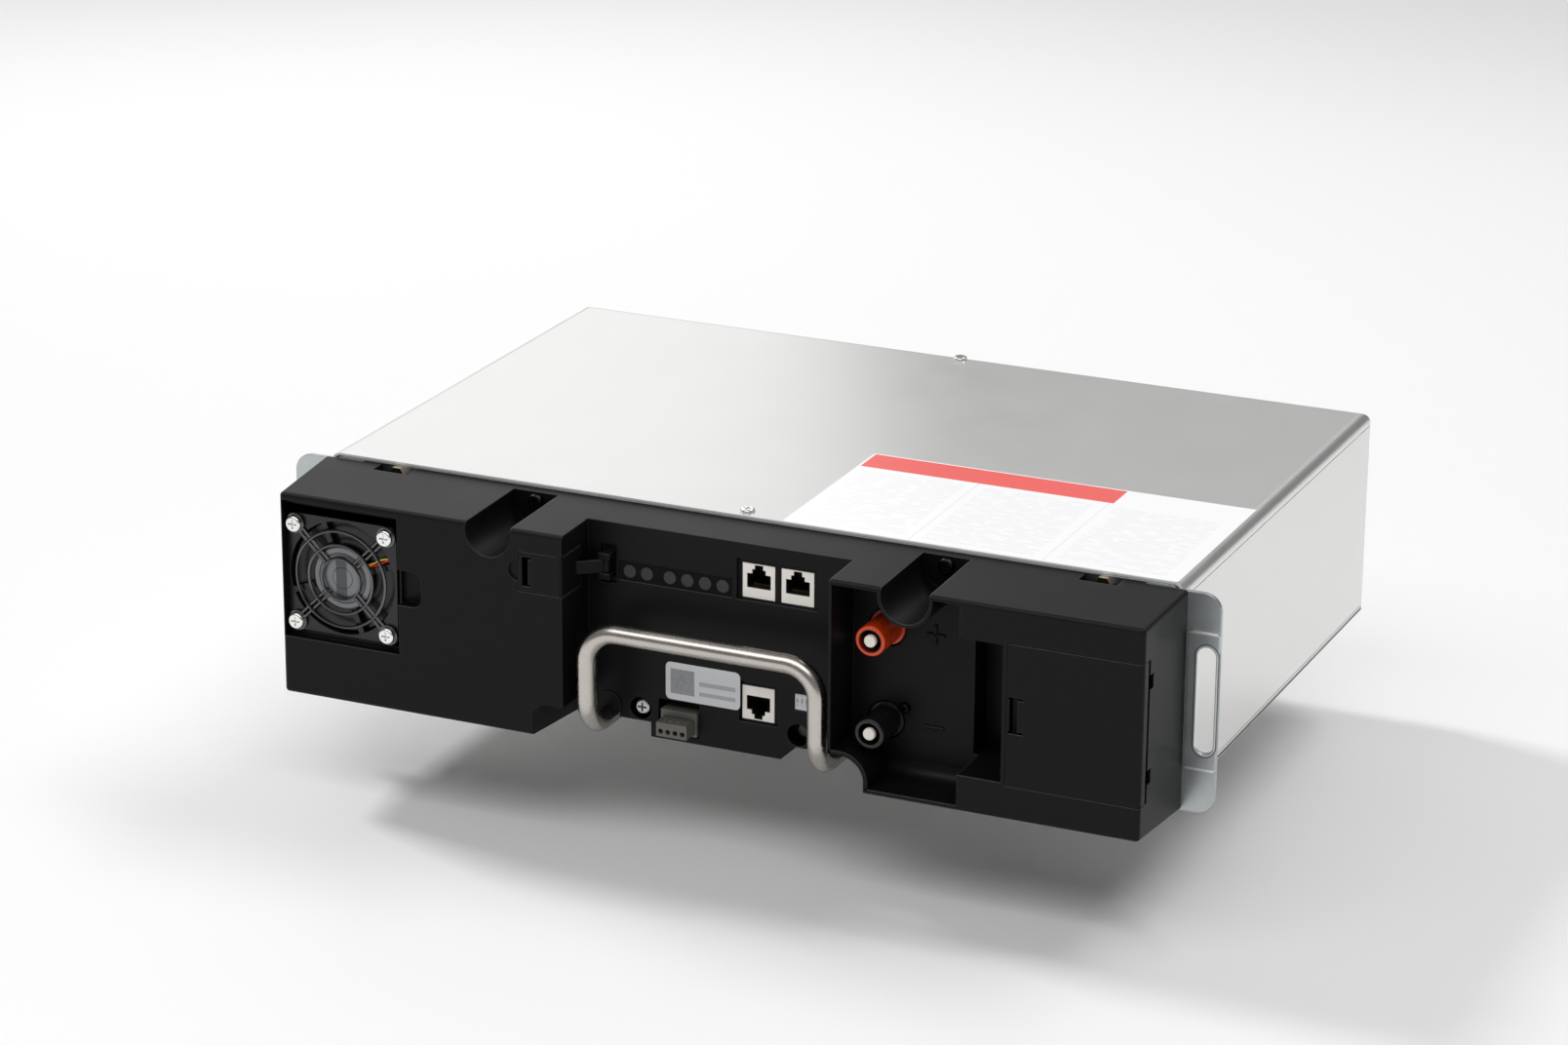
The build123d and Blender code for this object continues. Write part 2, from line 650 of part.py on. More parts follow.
def front_cover():
    """One moulding: a tapered shell whose recesses all have walls of their own."""
    inside = loft([cover_rim(WALL, -EAR_SHEET - 1), cover_rim(WALL, COVER_DEPTH - WALL)])
    for space in hollows(WALL):
        inside -= space
    cover = cover_form()
    for space in hollows(0.0):
        cover -= space
    cover -= inside
    roofs = cover_form() & plate(TERM_LEFT, TERM_RIGHT, 0, 130, 0, BEYOND)
    trough = (channel(CHANNEL_X[1], CHANNEL_WALL) - channel(CHANNEL_X[1], 0.0)) & roofs
    cover += trough
    cover += plate(
        POST_LEFT, POST_LEFT + POST_WIDTH, DUCT_LOW - 0.5, DUCT_TOP + 0.5, COVER_DEPTH - POST_DEPTH, COVER_DEPTH
    )
    cover -= door_seat()
    cover -= hinge_slots()
    for ear in hinge_ears():
        cover += ear
    cover -= comm_opening()
    for lug in comm_lugs():
        cover += lug
    for cut in panel_openings():
        cover -= cut
    for lug in comm_lugs():
        cover += lug
    for side in (-1, 1):
        edge = side * (EAR_INNER - FIT)
        outer = side * (COVER_REAR[1] + 5)
        cover -= plate(min(edge, outer), max(edge, outer), -10, 120, -EAR_SHEET - 1, 0)
    cover -= rod(FAN_BORE / 2, FAN_X, FAN_Z, FAN_BACK - WALL - 1, FAN_BACK + 1)
    for dx, dz in fan_corners():
        cover -= rod(FAN_HOLE_RADIUS * 0.7, FAN_X + dx, FAN_Z + dz, FAN_BACK - WALL - 1, FAN_BACK + 1)
    for x in CHANNEL_X:
        cover -= rod(SCREW_SHANK + FIT, x, CHANNEL_FLOOR + CHANNEL_RADIUS, -EAR_SHEET - 1, CHANNEL_END + 1)
    for x in FLANGE_SCREW_X:
        cover -= rod(SCREW_SHANK + FIT, x, FLANGE_SCREW_Z, -EAR_SHEET - 1, MID_PANEL)
    for z in (PLUS_Z, MINUS_Z):
        cover -= rod(SLEEVE_RADIUS - 0.4, PIN_X, z, 0, TERM_PANEL)
    for x, z in connector_screw_places():
        cover -= rod(CONNECTOR_SHANK, x, z, TERM_PANEL - 8, TERM_PANEL + 1)
    solids = cover.solids().sort_by(SortBy.VOLUME)
    return solids[-1]


def cable_door():
    """Door over the cable duct, wrapped round the corner, with two hinge arms and an I-shaped latch slot."""
    right = COVER_FRONT[1] - 0.02
    low = DOOR_LOW + DOOR_GAP
    high = DOOR_TOP - DOOR_GAP
    left = DOOR_LEFT + DOOR_GAP
    back = COVER_DEPTH - DOOR_WRAP
    shell = plate(left, right, low, high, back, COVER_DEPTH)
    shell = fillet(shell.edges().filter_by(Axis.Z).sort_by(lambda e: e.center().Y - e.center().X)[0], 2.4)
    inner = plate(
        left - 1, right - DOOR_SHEET + 0.2, low - 1, high + 1, back - 1, COVER_DEPTH - DOOR_SHEET
    )
    door = shell - inner
    middle = (DUCT_LOW + DUCT_TOP) / 2
    stem = left + 1.2
    door -= plate(
        stem, stem + LATCH_SLOT_WIDTH, middle - LATCH_SLOT_HEIGHT / 2, middle + LATCH_SLOT_HEIGHT / 2,
        COVER_DEPTH - DOOR_SHEET - 1, BEYOND,
    )
    for z in (middle - LATCH_SLOT_HEIGHT / 2, middle + LATCH_SLOT_HEIGHT / 2):
        door -= plate(
            stem - 0.6, stem - 0.6 + LATCH_SERIF, z - 0.6, z + 0.6, COVER_DEPTH - DOOR_SHEET - 1, BEYOND
        )
    half_arm = DOOR_ARM_SHEET / 2
    for z in DOOR_ARM_Z:
        z0 = z - DOOR_ARM_HEIGHT / 2
        z1 = z + DOOR_ARM_HEIGHT / 2
        door += plate(
            DOOR_AXIS_X - half_arm, DOOR_AXIS_X + half_arm, z0, z1, DOOR_AXIS_D, COVER_DEPTH - DOOR_SHEET + 0.2
        )
        door += post(HINGE_PIN_RADIUS + 0.7, DOOR_AXIS_X, FACE - DOOR_AXIS_D, z0, z1)
        reach = HINGE_EAR + DOOR_GAP
        door += post(HINGE_PIN_RADIUS, DOOR_AXIS_X, FACE - DOOR_AXIS_D, z0 - reach, z1 + reach)
    return door


def comm_door():
    """Corner door over the comms cable way, carried by a strap that turns on the middle panel's lugs."""
    low = COMM_LOW + DOOR_GAP
    high = COMM_TOP - DOOR_GAP
    left = COMM_LEFT + DOOR_GAP
    right = MID_LEFT
    back = COVER_DEPTH - COMM_WRAP
    shell = plate(left, right, low, high, back, COVER_DEPTH)
    shell = fillet(shell.edges().filter_by(Axis.Z).sort_by(lambda e: e.center().Y - e.center().X)[0], 2.0)
    door = shell - plate(left - 1, right - DOOR_SHEET, low - 1, high + 1, back - 1, COVER_DEPTH - DOOR_SHEET)
    middle = (COMM_LOW + COMM_TOP) / 2
    door -= plate(left + 1.6, left + 4.8, middle - 6.8, middle + 6.8, COVER_DEPTH - DOOR_SHEET - 1, BEYOND)
    for z in (middle - 6.8, middle + 6.8):
        door -= plate(left + 1.6, left + 6.6, z - 0.5, z + 0.5, COVER_DEPTH - DOOR_SHEET - 1, BEYOND)
    z0 = COMM_STRAP_LOW
    z1 = COMM_STRAP_LOW + COMM_STRAP_HEIGHT
    start = (right - 0.6, back + 4.0)
    end = (COMM_AXIS_X, COMM_AXIS_D)
    run_x = end[0] - start[0]
    run_d = end[1] - start[1]
    length = (run_x**2 + run_d**2) ** 0.5
    nx = run_d / length * 0.8
    nd = -run_x / length * 0.8
    corners = [
        (start[0] + nx, start[1] + nd), (end[0] + nx, end[1] + nd),
        (end[0] - nx, end[1] - nd), (start[0] - nx, start[1] - nd),
    ]
    strap = extrude(Pos(0, 0, z0) * outline(*[(x, FACE - d) for x, d in corners]), z1 - z0)
    door += strap
    door += post(HINGE_PIN_RADIUS + 0.6, COMM_AXIS_X, FACE - COMM_AXIS_D, z0, z1)
    reach = COMM_LUG + DOOR_GAP
    door += post(HINGE_PIN_RADIUS, COMM_AXIS_X, FACE - COMM_AXIS_D, z0 - reach, z1 + reach)
    return door


def status_window():
    x0, x1, z0, z1 = WINDOW
    film = plate(
        x0 + 0.15, x1 - 0.15, z0 + 0.15, z1 - 0.15, MID_PANEL - WINDOW_SHEET, MID_PANEL - 0.2
    )
    for x in LAMP_X:
        film -= rod(LAMP_RADIUS + 0.1, x, LAMP_Z, 0, BEYOND)
    return film


def status_lamps():
    """Light pipes from the interface board's lamps to the window."""
    return group([rod(LAMP_RADIUS, x, LAMP_Z, JACK_BACK, MID_PANEL - 0.1) for x in LAMP_X])


# ----------------------------------------------------------------------- fan


def fan_corners():
    half = FAN_HOLES / 2
    return [(x, z) for x in (-half, half) for z in (-half, half)]


def fan_frame():
    """Square frame with a front hub plate on four struts and the rotor's shaft."""
    square = fillet((Rectangle(FAN_SIZE, FAN_SIZE)).vertices(), 4.0)
    ring = square - Circle(FAN_BORE / 2)
    for x, z in fan_corners():
        ring -= Pos(x, z) * Circle(FAN_HOLE_RADIUS)
    place = Pos(FAN_X, FAN_Z)
    frame = prism(place * ring, FAN_BACK, FAN_FRONT)
    hub = Circle(FAN_HUB_RADIUS)
    for turn in (20, 110, 200, 290):
        hub += Rot(0, 0, turn) * Pos(FAN_BORE / 4 + 1, 0) * Rectangle(FAN_BORE / 2, 3.0)
    hub = hub & Circle(FAN_BORE / 2 + 0.5)
    frame += prism(place * hub, FAN_FRONT - FAN_HUB_PLATE, FAN_FRONT - 0.2)
    frame += rod(FAN_SHAFT_RADIUS, FAN_X, FAN_Z, FAN_BACK + 2.5, FAN_FRONT - 1)
    return frame


def fan_rotor():
    """Hub cup with swept blades on a bored boss."""
    front = FAN_FRONT - FAN_HUB_PLATE - 0.8
    back = FAN_BACK + 1.0
    hub = rod(FAN_HUB_RADIUS - 1.0, FAN_X, FAN_Z, back, front)
    tip = FAN_BORE / 2 - FAN_TIP_GAP
    middle = (front + back) / 2
    chord = front - back - 1.0
    across = Plane(origin=(0, 0, 0), x_dir=(0, 1, 0), z_dir=(1, 0, 0))
    inner = Pos(FAN_HUB_RADIUS - 3, 0, 0) * across * Rot(0, 0, 32) * Rectangle(1.2, chord)
    outer = Pos(tip, 0, 0) * across * Rot(0, 0, 50) * Rectangle(1.0, chord * 1.1)
    blade = loft([inner.face(), outer.face()])
    wheel = blade
    for number in range(1, FAN_BLADES):
        wheel = wheel + Rot(0, 0, 360 * number / FAN_BLADES) * blade
    wheel = wheel & Cylinder(tip, chord)
    centre = Plane(origin=(FAN_X, FACE - middle, FAN_Z), x_dir=(1, 0, 0), z_dir=(0, -1, 0))
    wheel = hub + centre * wheel
    return wheel - rod(FAN_SHAFT_RADIUS + FAN_PLAY, FAN_X, FAN_Z, FAN_BACK, FAN_FRONT)


def guard_ring(radius, x, z, d):
    profile = Pos(radius, 0) * RegularPolygon(GUARD_WIRE, 8)
    ring = revolve(Plane.XZ * profile, Axis.Z)
    return Plane(origin=(x, FACE - d, z), x_dir=(1, 0, 0), z_dir=(0, -1, 0)) * ring


def fan_guard():
    """Wire finger guard: rings on paired diagonal wires that end in screw eyes."""
    level = FAN_FRONT + GUARD_WIRE
    guard = None
    for radius in GUARD_RINGS:
        ring = guard_ring(radius, FAN_X, FAN_Z, level + GUARD_WIRE)
        guard = ring if guard is None else guard + ring
    eye = 5.0
    reach = FAN_HOLES / 2 * 2**0.5 - eye + GUARD_WIRE
    place = Plane(origin=(FAN_X, FACE - level, FAN_Z), x_dir=(1, 0, 0), z_dir=(0, -1, 0))
    for turn in (45, 135, 225, 315):
        for shift in (-GUARD_PAIR / 2, GUARD_PAIR / 2):
            start = GUARD_RINGS[0] - GUARD_WIRE
            wire = Pos((start + reach) / 2, shift, 0) * Rot(0, 90, 0) * Cylinder(GUARD_WIRE, reach - start)
            guard += place * (Rot(0, 0, turn) * wire)
    for dx, dz in fan_corners():
        washer = Circle(eye) - Circle(FAN_HOLE_RADIUS + 0.2)
        guard += prism(Pos(FAN_X + dx, FAN_Z + dz) * washer, FAN_FRONT + 0.02, FAN_FRONT + 1.4)
    return guard


def pan_screw(x, z, d, length, head=SCREW_HEAD, shank=SCREW_SHANK):
    """Cross-recess screw along the depth, its head's underside at d."""
    top = rod(head, x, z, d, d + SCREW_HEAD_HEIGHT)
    top = fillet(top.edges().sort_by(Axis.Y)[0], SCREW_HEAD_HEIGHT * 0.5)
    screw = top + rod(shank, x, z, d - length, d)
    arm = head * 0.55
    screw -= plate(x - arm, x + arm, z - 0.4, z + 0.4, d + 1.2, d + 5)
    return screw - plate(x - 0.4, x + 0.4, z - arm, z + arm, d + 1.2, d + 5)


def fan_screws():
    depth = FAN_DEPTH + WALL + 1.4
    shank = FAN_HOLE_RADIUS * 0.7
    places = [(FAN_X + dx, FAN_Z + dz) for dx, dz in fan_corners()]
    return group([pan_screw(x, z, FAN_FRONT + 1.4, depth, 4.2, shank) for x, z in places])


# -------------------------------------------------------------------- handle


def bent_path(points, radius):
    """Straight runs joined by arcs of one radius at every inner point."""
    pieces = []
    start = Vector(*points[0])
    for before, corner, after in zip(points, points[1:], points[2:]):
        corner = Vector(*corner)
        into = (corner - Vector(*before)).normalized()
        out = (Vector(*after) - corner).normalized()
        first = corner - into * radius
        last = corner + out * radius
        centre = corner - into * radius + out * radius
        middle = centre + (corner - centre).normalized() * radius
        pieces.append(Line(start, first))
        pieces.append(ThreePointArc(first, middle, last))
        start = last
    pieces.append(Line(start, Vector(*points[-1])))
    return Wire([edge for piece in pieces for edge in piece.edges()])


def handle():
    """Round bar bent forward from the front plate, up, across and back down."""
    out_y = FACE - HANDLE_REACH
    points = [
        (HANDLE_LEFT, FRONT, HANDLE_FOOT), (HANDLE_LEFT, out_y, HANDLE_FOOT), (HANDLE_LEFT, out_y, HANDLE_TOP),
        (HANDLE_RIGHT, out_y, HANDLE_TOP), (HANDLE_RIGHT, out_y, HANDLE_FOOT), (HANDLE_RIGHT, FRONT, HANDLE_FOOT),
    ]
    path = bent_path(points, HANDLE_BEND)
    section = Plane(origin=points[0], z_dir=(0, -1, 0)) * Circle(HANDLE_RADIUS)
    bar = sweep(section, path=path)
    for x in (HANDLE_LEFT, HANDLE_RIGHT):
        bar += rod(HANDLE_STUD_RADIUS, x, HANDLE_FOOT, -EAR_SHEET - HANDLE_STUD, -EAR_SHEET + 0.5)
    return bar


def handle_nuts():
    nuts = []
    back = -EAR_SHEET - SHEET
    for x in (HANDLE_LEFT, HANDLE_RIGHT):
        shape = Pos(x, HANDLE_FOOT) * (RegularPolygon(NUT_FLATS / 3**0.5, 6) - Circle(HANDLE_STUD_RADIUS))
        nuts.append(prism(shape, back - NUT_HEIGHT, back))
    return group(nuts)


# ---------------------------------------------------------------- connectors


def jack(x, z, latch_up):
    """Modular jack: a block with a stepped plug opening."""
    body = plate(
        x - JACK_WIDTH / 2, x + JACK_WIDTH / 2, z - JACK_HEIGHT / 2, z + JACK_HEIGHT / 2, JACK_BACK, JACK_FRONT
    )
    way = 1 if latch_up else -1
    base = z - way * 3.6
    opening = Pos(x, base + way * PORT_HEIGHT / 2) * Rectangle(PORT_WIDTH, PORT_HEIGHT)
    for width, rise in PORT_STEPS:
        tall = PORT_HEIGHT + rise
        opening += Pos(x, base + way * tall / 2) * Rectangle(width, tall)
    return body - prism(opening, JACK_FRONT - PORT_DEPTH, JACK_FRONT + 1)


def jack_contacts():
    """Eight spring contacts in each jack."""
    contacts = []
    for x, z, latch_up in jack_places():
        way = 1 if latch_up else -1
        base = z - way * 3.6
        for number in range(8):
            cx = x + (number - 3.5) * 1.02
            ends = sorted((base, base + way * 1.6))
            contacts.append(plate(cx - 0.2, cx + 0.2, ends[0], ends[1], JACK_FRONT - PORT_DEPTH, JACK_FRONT - 3))
    return group(contacts)


def plug_span():
    half = POLES * POLE_PITCH / 2 + 0.4
    return PLUG_X - half, PLUG_X + half


def pole_places():
    return [PLUG_X + (number - (POLES - 1) / 2) * POLE_PITCH for number in range(POLES)]


def terminal_header():
    """Board header that the plug slides into, with its four pins."""
    x0, x1 = plug_span()
    low = PLUG_Z - PLUG_HEIGHT / 2 - 1.2
    body = plate(x0 - 1.4, x1 + 1.4, low, low + HEADER_HEIGHT, MID_PANEL + 1 - HEADER_DEPTH, MID_PANEL + 1)
    body -= plate(
        x0 - FIT, x1 + FIT, PLUG_Z - PLUG_HEIGHT / 2 - FIT, PLUG_Z + PLUG_HEIGHT / 2 + FIT,
        MID_PANEL - HEADER_DEPTH + 4, MID_PANEL + 2,
    )
    for x in pole_places():
        body += plate(x - 0.4, x + 0.4, PLUG_Z - 0.4, PLUG_Z + 0.4, MID_PANEL - HEADER_DEPTH + 3, MID_PANEL - 6)
    return body


def terminal_plug():
    x0, x1 = plug_span()
    back = MID_PANEL - HEADER_DEPTH + 4.4
    plug = plate(x0, x1, PLUG_Z - PLUG_HEIGHT / 2, PLUG_Z + PLUG_HEIGHT / 2, back, PLUG_FRONT)
    for x in pole_places():
        plug -= rod(1.3, x, PLUG_Z - 1.0, PLUG_FRONT - 6, PLUG_FRONT + 1)
        plug -= plate(x - 0.55, x + 0.55, PLUG_Z - 0.55, PLUG_Z + 0.55, back - 1, MID_PANEL - 5.5)
        plug -= post(1.1, x, FACE - PLUG_FRONT + 3.4, PLUG_Z + 1.2, PLUG_Z + PLUG_HEIGHT)
    return plug


def clamp_screws():
    screws = []
    for x in pole_places():
        y = FACE - PLUG_FRONT + 3.4
        screw = post(1.05, x, y, PLUG_Z + 1.2, PLUG_Z + PLUG_HEIGHT / 2 - 0.3)
        screws.append(screw - block(x - 1.2, x + 1.2, y - 0.2, y + 0.2, PLUG_Z + PLUG_HEIGHT / 2 - 0.9, PLUG_Z + 6))
    return group(screws)


def address_switch():
    body = plate(
        SWITCH_X - SWITCH_WIDTH / 2, SWITCH_X + SWITCH_WIDTH / 2, SWITCH_Z - SWITCH_HEIGHT / 2,
        SWITCH_Z + SWITCH_HEIGHT / 2, JACK_BACK, MID_PANEL - 0.6,
    )
    for number in range(4):
        x = SWITCH_X + (number - 1.5) * 2.3
        body -= plate(x - 0.6, x + 0.6, SWITCH_Z - 1.8, SWITCH_Z + 1.8, MID_PANEL - 1.4, MID_PANEL)
        body += plate(x - 0.55, x + 0.55, SWITCH_Z - 1.7, SWITCH_Z - 0.2, MID_PANEL - 1.5, MID_PANEL - 0.8)
    return body


def power_sleeve(z):
    """Touch-proof sleeve around a power pin, with its flange in the panel's well."""
    seat = TERM_PANEL - WELL_DEPTH
    sleeve = rod(SLEEVE_FLANGE, PIN_X, z, seat, seat + SLEEVE_FLANGE_SHEET)
    sleeve += rod(SLEEVE_RADIUS, PIN_X, z, seat, SLEEVE_FRONT)
    sleeve = fillet(sleeve.edges().sort_by(Axis.Y)[0], 0.8)
    sleeve += rod(SLEEVE_RADIUS - 0.8, PIN_X, z, 0, seat + 0.1)
    sleeve -= rod(SLEEVE_BORE, PIN_X, z, seat + 3, SLEEVE_FRONT + 1)
    return sleeve - rod(PIN_RADIUS, PIN_X, z, -1, SLEEVE_FRONT)


def power_pin(z):
    shank = rod(PIN_RADIUS, PIN_X, z, -EAR_SHEET - 14, SLEEVE_FRONT - PIN_CAP)
    return shank + rod(PIN_RADIUS + 2.5, PIN_X, z, -EAR_SHEET - 8, -0.05)


def pin_caps():
    caps = []
    for z in (PLUS_Z, MINUS_Z):
        cap = rod(PIN_RADIUS, PIN_X, z, SLEEVE_FRONT - PIN_CAP, SLEEVE_FRONT + 0.6)
        caps.append(fillet(cap.edges().sort_by(Axis.Y)[0], 0.8))
    return group(caps)


def connector_screw_places():
    """Two places beside each power sleeve, on one diagonal."""
    across, up = CONNECTOR_SPREAD
    return [(PIN_X + way * across, z + way * up) for z in (PLUS_Z, MINUS_Z) for way in (-1, 1)]


def connector_screws():
    places = connector_screw_places()
    return group([pan_screw(x, z, TERM_PANEL, 5.0, CONNECTOR_HEAD, CONNECTOR_SHANK) for x, z in places])


def channel_screws():
    z = CHANNEL_FLOOR + CHANNEL_RADIUS
    return group([pan_screw(x, z, CHANNEL_END, 14.0) for x in CHANNEL_X])


def flange_screws():
    seat = MID_PANEL - FLANGE_WELL_DEPTH
    return group([pan_screw(x, FLANGE_SCREW_Z, seat, seat + EAR_SHEET + 8) for x in FLANGE_SCREW_X])


def earth_screws():
    """Hexagon-head earth screws in the cover's rear notches."""
    screws = []
    for x in EARTH_X:
        head = prism(Pos(x, EARTH_Z) * RegularPolygon(SCREW_HEAD, 6), -EAR_SHEET, 1.6)
        screws.append(head + rod(SCREW_SHANK, x, EARTH_Z, -EAR_SHEET - 8, -EAR_SHEET))
    return group(screws)


# ----------------------------------------------------------------- cell pack


def cells():
    """Pouch cells on edge, each a thick body inside a thin sealed rim with a tab at each end."""
    pouches = []
    z0 = PACK_LOW
    z1 = PACK_LOW + CELL_HEIGHT
    half = CELL_LENGTH / 2
    for number in range(CELLS):
        y = PACK_FRONT + number * PITCH
        mid = y + CELL_THICK / 2
        pouch = block(-half + CELL_SEAL, half - CELL_SEAL, y, y + CELL_THICK, z0, z1)
        pouch += block(-half, half, mid - 0.6, mid + 0.6, z0, z1)
        for side in (-1, 1):
            x = side * (half + 3.5)
            pouch += block(x - 4, x + 4, mid - 0.3, mid + 0.3, z0 + 30, z0 + 30 + CELL_TAB)
        pouches.append(pouch)
    return group(pouches)


def compression_pads():
    half = CELL_LENGTH / 2 - CELL_SEAL - 4
    pads = []
    for number in range(CELLS - 1):
        y = PACK_FRONT + number * PITCH + CELL_THICK
        pads.append(block(-half, half, y, y + PAD, PACK_LOW + 4, PACK_LOW + CELL_HEIGHT - 4))
    return group(pads)


def end_plate(y):
    wing = ROD_X + 8
    plate_body = block(-wing, wing, y, y + END_PLATE, PACK_LOW, PACK_LOW + CELL_HEIGHT)
    for x in (-ROD_X, ROD_X):
        for z in ROD_Z:
            plate_body -= Pos(x, y, z) * Rot(90, 0, 0) * Cylinder(ROD_RADIUS + FIT, 20)
    return plate_body


def tie_rods():
    """Four rods with a head and a nut that hold the cells between the end plates."""
    rods = []
    y0 = PACK_FRONT - END_PLATE
    y1 = PACK_BACK + END_PLATE
    for x in (-ROD_X, ROD_X):
        for z in ROD_Z:
            length = y1 - y0 + 6
            shank = Pos(x, (y0 + y1) / 2, z) * Rot(90, 0, 0) * Cylinder(ROD_RADIUS, length)
            nut = Plane(origin=(x, y0, z), z_dir=(0, -1, 0)) * extrude(RegularPolygon(4.6, 6), 3)
            head = Plane(origin=(x, y1, z), z_dir=(0, 1, 0)) * extrude(RegularPolygon(4.6, 6), 3)
            rods.append(shank + nut + head)
    return group(rods)


def cell_links():
    """Copper links that join neighbouring cells' tabs, alternating between the two ends."""
    links = []
    x = CELL_LENGTH / 2 + 7.5
    z = PACK_LOW + 32
    for number in range(CELLS - 1):
        side = 1 if number % 2 else -1
        y = PACK_FRONT + number * PITCH + CELL_THICK / 2
        ends = sorted((side * x, side * (x + LINK_SHEET)))
        links.append(block(ends[0], ends[1], y - 2, y + PITCH + 2, z, z + CELL_TAB - 4))
    return group(links)


def insulation_sheet():
    return block(
        -CELL_LENGTH / 2 - 12, CELL_LENGTH / 2 + 12, PACK_FRONT - END_PLATE, PACK_BACK + END_PLATE,
        SHEET, PACK_LOW,
    )


# --------------------------------------------------------------- electronics


def board_posts():
    rows = (BOARD_FRONT + 8, BOARD_BACK - 8)
    return [(x, y) for x in (BOARD_X[0] + 10, BOARD_X[1] - 140, BOARD_X[1] - 10) for y in rows]


def management_board():
    """Battery management board with its heat sink and the larger components."""
    board = block(*BOARD_X, BOARD_FRONT, BOARD_BACK, BOARD_Z, BOARD_Z + BOARD)
    for x, y in board_posts():
        board -= post(SCREW_SHANK, x, y, BOARD_Z - 1, BOARD_Z + BOARD + 1)
    sink_low = BOARD_Z + BOARD
    sink_left = BOARD_X[1] - 98
    sink_right = sink_left + (SINK_FINS - 1) * SINK_PITCH + SINK_FIN
    board += block(sink_left - 2, sink_right + 1.2, BOARD_FRONT + 14, BOARD_BACK - 4, sink_low, sink_low + 3)
    for number in range(SINK_FINS):
        x = sink_left + number * SINK_PITCH
        fin_top = sink_low + SINK_HEIGHT
        board += block(x, x + SINK_FIN, BOARD_FRONT + 14, BOARD_BACK - 4, sink_low + 2.5, fin_top)
    for reach, size, high in ((30, 14, 6), (54, 10, 4), (78, 18, 3), (108, 8, 9), (170, 12, 5)):
        x = BOARD_X[0] + reach
        middle = (BOARD_FRONT + BOARD_BACK) / 2
        board += block(x, x + size, middle - size / 2, middle + size / 2, sink_low - 0.1, sink_low + high)
    return board


def board_supports():
    """Threaded posts that carry the management board over the bottom cover."""
    posts = []
    for x, y in board_posts():
        support = post(STANDOFF_RADIUS, x, y, SHEET, BOARD_Z)
        posts.append(support + post(SCREW_SHANK - FIT, x, y, BOARD_Z - 1, BOARD_Z + BOARD + 3))
    return group(posts)


def interface_board():
    """Upright board behind the middle panel for the jacks, the lamps, the header and the switch."""
    x0, x1, z0, z1 = INTERFACE
    sheet = Pos((x0 + x1) / 2, (z0 + z1) / 2) * Rectangle(x1 - x0, z1 - z0)
    for x, z in STANDOFFS:
        sheet -= Pos(x, z) * Circle(1.6)
    for x in FLANGE_SCREW_X:
        sheet -= Pos(x, FLANGE_SCREW_Z) * Circle(FLANGE_WELL + WALL + 1)
    return prism(sheet, JACK_BACK - BOARD, JACK_BACK)


def interface_standoffs():
    spacers = []
    for x, z in STANDOFFS:
        spacer = rod(STANDOFF_RADIUS, x, z, -EAR_SHEET, JACK_BACK - BOARD)
        spacers.append(spacer + rod(1.1, x, z, -EAR_SHEET - SHEET, JACK_BACK + 1.5))
    return group(spacers)


def main_fuse():
    """Square-body fuse on its pedestal, its front blade against the positive bar."""
    x0, x1 = FUSE_X
    low = PLUS_Z - 9
    body = block(x0, x1, BAR_BACK + 3, BAR_BACK + 28, low, PLUS_Z + 10)
    for y in (BAR_BACK, BAR_BACK + 27.5):
        body += block(x0 + 2, x1 - 2, y, y + 3.5, PLUS_Z - 7, PLUS_Z + 7)
    return body + block(x0 + 4, x1 - 4, BAR_BACK + 8, BAR_BACK + 22, SHEET, low + 0.5)


def contactor():
    """Sealed contactor with two stud terminals."""
    x0, x1 = CONTACTOR_X
    y = BAR_BACK + 9
    case = block(x0, x1, y, y + CONTACTOR_DEPTH, SHEET, CONTACTOR_TOP)
    body = fillet(case.edges().filter_by(Axis.Z), 3.0)
    for x in (x0 + 10, x1 - 10):
        body += post(CONTACTOR_STUD, x, y + CONTACTOR_DEPTH / 2, CONTACTOR_TOP - 2, CONTACTOR_TOP + 8)
    return body


def current_shunt():
    """Measuring shunt against the negative bar, on its foot."""
    x0, x1 = SHUNT_X
    body = block(x0, x1, BAR_BACK, BAR_BACK + 5, MINUS_Z - 7, MINUS_Z + 7)
    return body + block(x0 + 10, x1 - 10, BAR_BACK, BAR_BACK + 5, SHEET, MINUS_Z - 6)


def power_bar(z, x1):
    """Copper bar clamped on a power pin, run sideways to x1."""
    low = z - BAR_HEIGHT / 2
    bar = block(PIN_X - 10, x1, BAR_FRONT, BAR_BACK, low, low + BAR_HEIGHT)
    return bar - rod(PIN_RADIUS, PIN_X, z, -60, 0)


